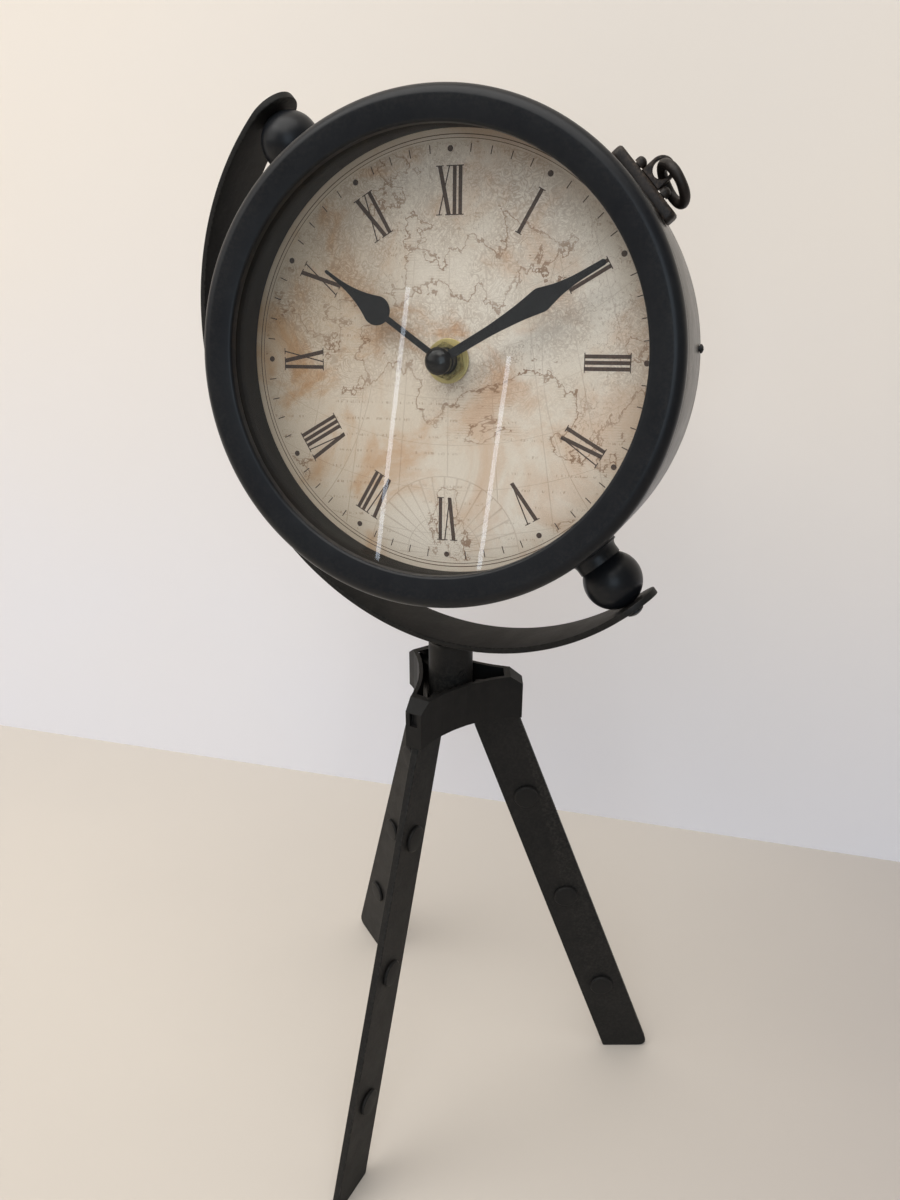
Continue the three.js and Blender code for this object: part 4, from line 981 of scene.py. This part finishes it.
def button(radius, side, crown, slot):
    """Slotted screw head as a pillow: lines across the disc, each a chord of the circle gone over at
    the height side + crown * (1 - (r / R)^2) and back along the flat bottom; lines in the slot lie
    lower by the slot's width."""
    rows, columns, half = 13, 25, slot / 2
    outer = radius * np.sin(np.radians(np.linspace(math.degrees(math.asin(half / radius)), 90, rows)))
    lines = np.concatenate([-outer[::-1], [-half, half], outer])
    deep = np.concatenate([np.zeros(rows), [1, 1], np.zeros(rows)]) * slot
    chord = np.sqrt(np.maximum(radius ** 2 - lines ** 2, 0))
    across = np.cos(np.linspace(math.pi, 0, columns))
    x = chord[:, None] * across
    y = np.broadcast_to(lines[:, None], x.shape)
    top = side + crown * (1 - (x ** 2 + y ** 2) / radius ** 2) - deep[:, None]
    upper = np.stack([x, y, top], -1)
    lower = np.stack([x, y, np.zeros_like(x)], -1)[:, ::-1]
    grid = np.concatenate([upper, lower], 1)
    return grid.reshape(-1, 3), grid_faces(len(lines), 2 * columns)


def make_screw(name, place, material, nodes, head, side, crown, shank, length, cut=0.0):
    """A head on its seat at height 0 of its place, slotted where it has a cut, and else a dome on a
    short side, with a round shank below."""
    if cut:
        top = button(head, side, crown, cut)
    else:
        dome = np.vstack([[(0, 0), (head, 0)], arc((0, side), (head, crown), 0, 90, 9)])
        top = lathe(dome, 48, closed=False)
    stem = rounded(rectangle(0, shank, -length, 0.02), (0, 0.2, 0, 0), closed=False)
    shape = joined(top, lathe(stem, 32, closed=False))
    piece(name, place, shape, material, "clock", nodes, sharp=30)


def ball_profile():
    """A ball bored through, with eased mouths."""
    radius, bore, mouth, mouth_height, mouth_angle = 10.1, 2.3, 3.4, 9.51, 70.3
    hole = [(mouth, mouth_height), (bore, mouth_height), (bore, -mouth_height), (mouth, -mouth_height)]
    outside = arc((0, 0), radius, -mouth_angle, mouth_angle, 48)
    return np.vstack([outside, rounded(hole, (0, 0.2, 0.2, 0), closed=False)])


def seat_rings(sides):
    """Foot under a ball: its underside follows the drum at the height root(R^2 - x^2), its side
    flares, and its top is cupped for the ball. A height of 0 stands for the underside."""
    bore, foot, waist, cup_reach, cup_radius = 2.3, 9.2, 7.8, 7.7, 10.4
    side_top, flare_top, flare_drop, lip = 80.75, 82.8, 2.0, 85.1
    flare = arc((foot, flare_top), (foot - waist, flare_drop), -90, -180, 8)
    cup = np.linspace(cup_reach, bore, 8)
    rings = [(reach, 0.0) for reach in np.linspace(bore, foot, 6)]
    rings += [(foot, side_top), *flare, (waist, lip)]
    rings += [(reach, BALL_HEIGHT - math.sqrt(cup_radius ** 2 - reach ** 2)) for reach in cup]
    across = np.cos(around(sides))
    return [(reach, np.maximum(height, np.sqrt(SEAT_RADIUS ** 2 - (reach * across) ** 2)))
            for reach, height in rings]


def make_pivots():
    """Ball, flared foot and slotted screw at each end of the tilt axis."""
    sides = 120
    ball = lathe(ball_profile(), 96)
    seat = ring_stack(seat_rings(sides), sides)
    for end, sign in (("lower", 1), ("upper", -1)):
        axis = sign * ball_axis
        place = Place(pivot, np.cross(dial_out, axis), dial_out, axis)
        piece(f"pivot_ball_{end}", place.moved(z=BALL_HEIGHT), ball, satin_black_blue_sheen, "clock",
              [f"ball_{end}"])
        piece(f"ball_seat_{end}", place, seat, satin_black_blue_sheen, "clock", [f"ball_foot_{end}"])
        make_screw(f"pivot_pin_{end}", place.moved(z=ARM_OUTSIDE), satin_black_blue_sheen,
                   [f"pivot_screw_{end}"], head=3.0, side=1.0, crown=1.0, shank=2.0, length=31.0, cut=0.8)


def make_cover_screws():
    """Four slotted screws in the drum's side, a quarter turn apart, each slot at its own angle."""
    level, first = -18.6, 86.6
    for i in range(4):
        a = math.radians(first + 90 * i)
        outwards = math.sin(a) * dial_right + math.cos(a) * dial_up
        spot = dial.out((SEAT_RADIUS * math.sin(a), SEAT_RADIUS * math.cos(a), level))
        place = Place(spot, dial_out, np.cross(outwards, dial_out), outwards)
        make_screw(f"side_screw_{i + 1}", place.turned(20 + 50 * i), satin_black_blue_sheen,
                   [f"cover_screw_{i + 1}"], head=1.5, side=0.55, crown=0.65, shank=1.0, length=4.0, cut=0.4)


# Arm, post and stand

ARM_OFFSET = 1.2


def make_arm():
    """A rounded bar section carried along a flat end, a half circle and a second flat end. At both
    ends the width falls as the root of 1 - (u / half width)^2, which rounds them about their screws."""
    half_thick, half_wide = 1.1, 9.7
    lead = -half_wide * np.cos(np.radians(np.linspace(0, 90, 19)))
    lead = np.append(lead, np.linspace(0, ARM_OFFSET, 3)[1:])
    turn = np.radians(np.linspace(-90, 90, 181))[1:-1]
    round_way = np.column_stack([np.cos(turn), np.sin(turn)])
    path = np.vstack([
        np.column_stack([lead, np.full(len(lead), -ARM_RADIUS)]),
        (ARM_OFFSET, 0) + ARM_RADIUS * round_way,
        np.column_stack([lead[::-1], np.full(len(lead), ARM_RADIUS)]),
    ])
    normal = np.vstack([np.tile((0.0, -1.0), (len(lead), 1)), round_way, np.tile((0.0, 1.0), (len(lead), 1))])
    width = np.sqrt(np.clip(1 - (np.minimum(path[:, 0], 0) / half_wide) ** 2, 0, 1))
    section = rounded(rectangle(-half_wide, half_wide, -half_thick, half_thick), 0.5, 3)
    across, out = section.T
    grid = np.empty((len(path), len(section), 3))
    grid[:, :, :2] = path[:, None] + normal[:, None] * out[None, :, None]
    grid[:, :, 2] = width[:, None] * across
    shape = (grid.reshape(-1, 3), grid_faces(len(path), len(section)))
    piece("strap_arm", arm_place, shape, stand_black, "head", ["arm"])


def make_post():
    """Tube whose top follows the arm's underside, z = zc - sqrt(R^2 - (x - xc)^2), with a low
    uneven weld bead that swells the wall just below it."""
    sides, bore, wall, foot, ease, bead_fall = 144, 5.3, 8.6, 200.3, 0.3, 1.1
    angle = around(sides)
    bend = arm_place.out((ARM_OFFSET, 0, 0))
    bead = 0.75 + 0.18 * np.sin(7 * angle + 0.6) + 0.12 * np.sin(13 * angle + 2.1)

    def top(radius):
        """Height of the arm's underside over each angle of the tube, at a radius."""
        x = stand_foot[0] + radius * np.cos(angle) - bend[0]
        return bend[2] - np.sqrt(ARM_OUTSIDE ** 2 - x ** 2)

    rings = [(bore, foot), (wall - ease, foot), (wall, foot + ease)]
    for below in (3.0, 2.2, 1.6, 1.1, 0.7, 0.35, 0.12):
        swollen = wall + bead * math.exp(-(below / bead_fall) ** 2)
        rings.append((swollen, top(swollen) - below))
    crest = wall - 0.2 + bead * 0.6
    rings += [(crest, top(crest) - 0.02), (bore, top(bore))]
    piece("post_tube", stand, ring_stack(rings, sides), stand_black, "head", ["post"])


LEG_NAMES = ("right", "left", "front")
LEG_AZIMUTH = 31.4
FOOT_IN, FOOT_OUT = 74.6, 96.4
BEND_IN, BEND_OUT = (9.5, 185.0), (27.4, 189.0)
LEG_TOP, LEG_BACK = 204.3, 26.6


def leg_place(i):
    """Where a leg stands: X out from the stand's middle, Y up and Z across the leg."""
    a = math.radians(LEG_AZIMUTH + 120 * i)
    along = np.array((math.cos(a), math.sin(a), 0.0))
    up = np.array((0.0, 0.0, 1.0))
    return Place(stand_foot, along, up, np.cross(along, up))


def rivet_profile():
    """Half of a rivet's section: shank, underside, round edge and a low crown that falls with the
    square of its reach."""
    shank, seat, head_reach, crown_reach, crown_level, crown_rise = 1.8, 1.8, 5.15, 4.4, 3.02, 0.16
    crown = np.linspace(crown_reach, 0, 8)
    return np.vstack([
        [(shank, seat), (head_reach, seat)],
        arc((5.0, 2.05), 0.3, -60, 0, 3),
        arc((4.55, 2.3), 0.75, 0, 75, 6),
        np.column_stack([crown, crown_level + crown_rise * (1 - (crown / crown_reach) ** 2)]),
    ])


def make_legs():
    """Flat bars cut from an outline of reach and level, edges rounded, with a rivet that has a round
    head on both sides at three levels, midway between the bar's inner and outer edge."""
    half_thick, edge, first_rivet, rivet_step = 1.5, 0.45, 41, 54.2
    corners = [(FOOT_IN, 0), (FOOT_OUT, 0), BEND_OUT, (LEG_BACK, BEND_OUT[1]), (LEG_BACK, LEG_TOP),
               (BEND_IN[0], LEG_TOP), BEND_IN]
    outline = rounded(corners, (0.8, 5.5, 0.4, 0.1, 0.8, 0.8, 1.5), 6)
    bar = slab(outline, -half_thick, half_thick, edge)
    head = rivet_profile()
    rivet = lathe(np.vstack([(head * (1, -1))[::-1], head]), 64, closed=False)
    for i, name in enumerate(LEG_NAMES):
        place = leg_place(i)
        piece(f"leg_bar_{name}", place, bar, stand_black, "stand", [f"leg_{name}"])
        for j in range(3):
            level = first_rivet + rivet_step * j
            outer = FOOT_OUT + (BEND_OUT[0] - FOOT_OUT) * level / BEND_OUT[1]
            inner = FOOT_IN + (BEND_IN[0] - FOOT_IN) * level / BEND_IN[1]
            piece(f"rivet_{name}_{j + 1}", place.moved(x=(outer + inner) / 2, y=level), rivet,
                  stand_black, "stand", [f"leg_rivet_{name}_{j + 1}"])


# Handle on the drum's shoulder

EYE_HEIGHT = 7.4


def handle_bar():
    """Bar drawn in at its edges, ring by ring. Its underside follows the drum, z = root(R^2 - x^2),
    and that bend fades towards its flat top."""
    half_long, half_wide, corner, thick, drum = 13.9, 4.0, 2.2, 2.8, 80.5
    outline = rounded(rectangle(-half_long, half_long, -half_wide, half_wide), corner, 6)
    drawn = ((2.0, 0.0), (0.35, 0.0), (0.05, 0.3), (0.0, 0.6), (0.0, 1.9), (0.25, 2.45), (0.8, 2.75),
             (1.6, thick))
    rings = []
    for draw, height in drawn:
        ring = inset(outline, draw)
        under = np.sqrt(drum ** 2 - ring[:, 0] ** 2) - SEAT_RADIUS
        rings.append(np.column_stack([ring, under * (1 - height / thick) + height]))
    return stacked(rings)


def handle_eye():
    """Lug with a round hole: its reach is the same all round above, and min(above / cos, below / sin)
    towards the bar."""
    sides, above, below, hole = 72, 4.0, 4.6, 2.9
    half_thick, inner_ease, outer_ease, bevel = 1.1, 0.3, 0.35, 0.2
    c, s = np.cos(around(sides)), np.sin(around(sides))
    foot = np.minimum(above / np.maximum(np.abs(c), 1e-6), below / np.maximum(-s, 1e-6))
    reach = np.where(s >= 0, above, foot)
    stations = [
        (reach - outer_ease, -half_thick), (reach, outer_ease - half_thick), (reach, half_thick - outer_ease),
        (reach - outer_ease, half_thick), (hole + bevel, half_thick), (hole, half_thick - inner_ease),
        (hole, inner_ease - half_thick), (hole + bevel, -half_thick),
    ]
    points, faces = ring_stack(stations, sides)
    upright = Place((0, 0, EYE_HEIGHT), (1, 0, 0), (0, 0, 1), (0, 1, 0))
    return upright.out(points), faces


def make_handle():
    """The bar with its eye, and a domed screw on each side of the eye."""
    base = Place(handle.out((SEAT_RADIUS, 0, 0)), handle.axes[1], handle.axes[2], handle.axes[0])
    plate = joined(handle_bar(), handle_eye())
    screw_away, screw_level = 5.9, 3.1
    piece("handle_base", base, plate, cast_brown, "clock", ["handle_plate"])
    for name, sign in (("upper", 1), ("lower", -1)):
        place = base.moved(x=screw_away * sign, z=screw_level)
        make_screw(f"handle_bolt_{name}", place, cast_brown, [f"handle_screw_{name}"],
                   head=1.8, side=1.2, crown=1.4, shank=1.1, length=4.0)


def rotation(axis, degrees):
    """Matrix that turns points by an angle about the axis numbered 0, 1 or 2."""
    c, s = math.cos(math.radians(degrees)), math.sin(math.radians(degrees))
    first, second = (axis + 1) % 3, (axis + 2) % 3
    matrix = np.eye(3)
    matrix[first, first] = matrix[second, second] = c
    matrix[first, second], matrix[second, first] = -s, s
    return matrix


def make_ring():
    """Torus ((R + r cos b) cos a, (R + r cos b) sin a, r sin b), its bar through the eye, turned
    as it hangs."""
    radius, bar_radius, waver, swing, twist = 6.4, 1.59, 0.05, -20, 22
    sides, bar_sides = 120, 32
    a, b = np.meshgrid(around(sides), around(bar_sides), indexing="ij")
    bar = bar_radius + waver * np.sin(5 * a)
    reach = radius + bar * np.cos(b)
    grid = np.stack([radius + reach * np.cos(a), reach * np.sin(a), bar * np.sin(b)], -1)
    turn = rotation(2, -90) @ rotation(1, swing) @ rotation(0, 90 - twist)
    shape = (grid.reshape(-1, 3) @ turn.T, grid_faces(sides, bar_sides, wrap_rows=True))
    piece("pull_ring", handle.moved(x=SEAT_RADIUS + EYE_HEIGHT), shape, cast_brown, "ring",
          ["handle_ring"])


# Finishes of the solids that stay

def dress(names, material):
    """Gives each named solid one material."""
    for name in names:
        slots = frame["nodes"][name].data.materials
        slots.clear()
        slots.append(material)


make_bezel()
make_shell()
make_back_cover()
make_dial_stack()
make_numerals()
make_minute_marks()
make_hands()
make_dial_fixings()
make_pivots()
make_cover_screws()
make_arm()
make_post()
make_legs()
make_handle()
make_ring()
dress(["collar", "hub_spindle", "post_set_screw"], stand_black)
dress(["pivot_nut_lower", "pivot_nut_upper", "dial_plate", "contact_positive",
       "contact_negative", "minute_arbor"], steel)
dress(["movement_frame", "movement_cover"], black_plastic)
dress(["hour_wheel", "motion_wheel", "set_knob"], white_plastic)
dress(["movement_gasket"], rubber)
dress(["battery"], battery_sleeve)
dress(["motor_coil"], copper)
dress(["circuit_board"], board_green)


# Floor, backdrop and light

WALL_LINE = ((0, 725), (900, 862))
FAR = 4000.0
WALL_HEIGHT = 3000.0
# Two ends of each streak on the glass, as pixels of the picture
STREAKS = {"left_tube": ((408, 287), (376.5, 564)), "right_tube": ((509, 356), (478.5, 571.5))}
TUBE_AWAY, TUBE_HALF = 1500.0, 4.0


def plain(name, axis, start, end, first, second, clear_back=True):
    """Matt pale paint of the floor and backdrop, a little cloudy, going from one colour to another
    between two places along an axis as painted light and shade, and clear from behind where that is asked
    for."""
    material, graph, shader, output = new_material(name)
    place = graph.position()
    split = graph.node("ShaderNodeSeparateXYZ")
    graph.feed(split.inputs[0], place)
    # The share along the axis lays painted light and shade over the pale paint.
    along = graph.span(split.outputs[axis], start, end)
    cloud = graph.span(graph.noise(place, 3.0, 3.0, 0.5), 0.3, 0.7, -0.1, 0.1)
    share = graph.math("ADD", along, cloud, clamp=True)
    graph.feed(shader.inputs["Base Color"], graph.colour(share, rgb(*first), rgb(*second)))
    shader.inputs["Roughness"].default_value = 0.75
    shader.inputs["Specular IOR Level"].default_value = 0.2
    if clear_back:
        clear_where(graph, shader, output, graph.node("ShaderNodeNewGeometry").outputs["Backfacing"])
    return material


def flat_stage(name, corners, material):
    """A four-cornered sheet of the setting, which is no part of the clock."""
    mesh = bpy.data.meshes.new(name)
    mesh.from_pydata([tuple(float(v) * MM for v in corner) for corner in corners], [], [(0, 1, 2, 3)])
    mesh.materials.append(material)
    obj = bpy.data.objects.new(name, mesh)
    bpy.context.scene.collection.objects.link(obj)
    return obj


def on_floor(x, y):
    """Where the ray through a pixel of the picture meets the floor."""
    ray = through_pixel(x, y)
    return camera_place + ray * (-camera_place[2] / ray[2])


def make_stage():
    """Floor, and a wall that stands on the line seen behind the clock."""
    first, last = [on_floor(*pixel) for pixel in WALL_LINE]
    along = unit(last - first)
    back = np.array((-along[1], along[0], 0.0))
    middle = (first + last) / 2
    left, right = middle - along * FAR, middle + along * FAR
    near = -back * 2 * FAR
    up = np.array((0.0, 0.0, WALL_HEIGHT))
    # The floor goes from lighter to darker along X, away from the key light on the left: painted shade.
    floor_painted_shade = plain("floor_painted_shade", 0, 0.0, 0.26, (192, 185, 176), (170, 164, 159), clear_back=False)
    flat_stage("floor", [left + near, right + near, right - near, left - near], floor_painted_shade)
    # The wall goes from cool at its foot to warm higher up: painted light.
    wall_painted_light = plain("wall_painted_light", 2, 0.0, 0.42, (233, 232, 237), (240, 231, 220))
    wall = flat_stage("wall", [left, right, right + up, left + up], wall_painted_light)
    wall.visible_shadow = False


def area_light(name, place, target, size, power, colour):
    """A square light at a place in metres, facing a target."""
    data = bpy.data.lights.new(name, "AREA")
    data.shape = "RECTANGLE"
    data.size, data.size_y = size, size
    data.energy = power
    data.color = colour
    obj = bpy.data.objects.new(name, data)
    place, target = np.array(place, float), np.array(target, float)
    z = unit(place - target)
    x = unit(np.cross((0, 0, 1), z))
    obj.matrix_world = placed(place, x, np.cross(z, x), z)
    bpy.context.scene.collection.objects.link(obj)


def make_light():
    """Soft ceiling light, a key from the upper left and cool window light from the front right."""
    world = bpy.data.worlds.new("room")
    world.use_nodes = True
    world.node_tree.nodes["Background"].inputs[0].default_value = (1.0, 0.97, 0.94, 1)
    world.node_tree.nodes["Background"].inputs[1].default_value = 0.2
    bpy.context.scene.world = world
    area_light("ceiling", (-0.2, -0.6, 2.1), (0, 0, 0.2), 2.2, 50, (1.0, 0.975, 0.94))
    area_light("key", (-1.4, -1.4, 1.4), (0, 0, 0.25), 1.7, 14.5, (1.0, 0.975, 0.945))
    area_light("window", (1.0, -1.9, 0.95), (0, 0, 0.33), 1.3, 12, (0.7, 0.85, 1.0))


def strip_material():
    """Plain light of a far lamp tube, seen only as a reflection."""
    material = bpy.data.materials.new("tube_light")
    material.use_nodes = True
    graph = Graph(material.node_tree)
    graph.tree.nodes.clear()
    glow = graph.node("ShaderNodeEmission")
    glow.inputs[0].default_value = (0.8, 0.88, 1.0, 1)
    glow.inputs[1].default_value = 3.2
    output = graph.node("ShaderNodeOutputMaterial")
    graph.feed(output.inputs["Surface"], glow.outputs[0])
    return material


def make_streaks():
    """Two thin lamp tubes, placed where rays from the camera go after the glass mirrors them."""
    material = strip_material()
    glass_face = dial.out((0, 0, GLASS_FRONT))
    for name, pixels in STREAKS.items():
        ends = []
        for pixel in pixels:
            ray = through_pixel(*pixel)
            hit = camera_place + ray * (((glass_face - camera_place) @ dial_out) / (ray @ dial_out))
            ends.append(hit + (ray - 2 * (ray @ dial_out) * dial_out) * TUBE_AWAY)
        first, last = ends
        half = np.cross(unit(last - first), unit(dial.origin - first)) * TUBE_HALF
        strip = flat_stage(name, [first - half, last - half, last + half, first + half], material)
        strip.visible_camera = False
        strip.visible_diffuse = False
        strip.visible_shadow = False


make_stage()
make_light()
make_streaks()
bpy.context.scene.view_settings.view_transform = "Standard"
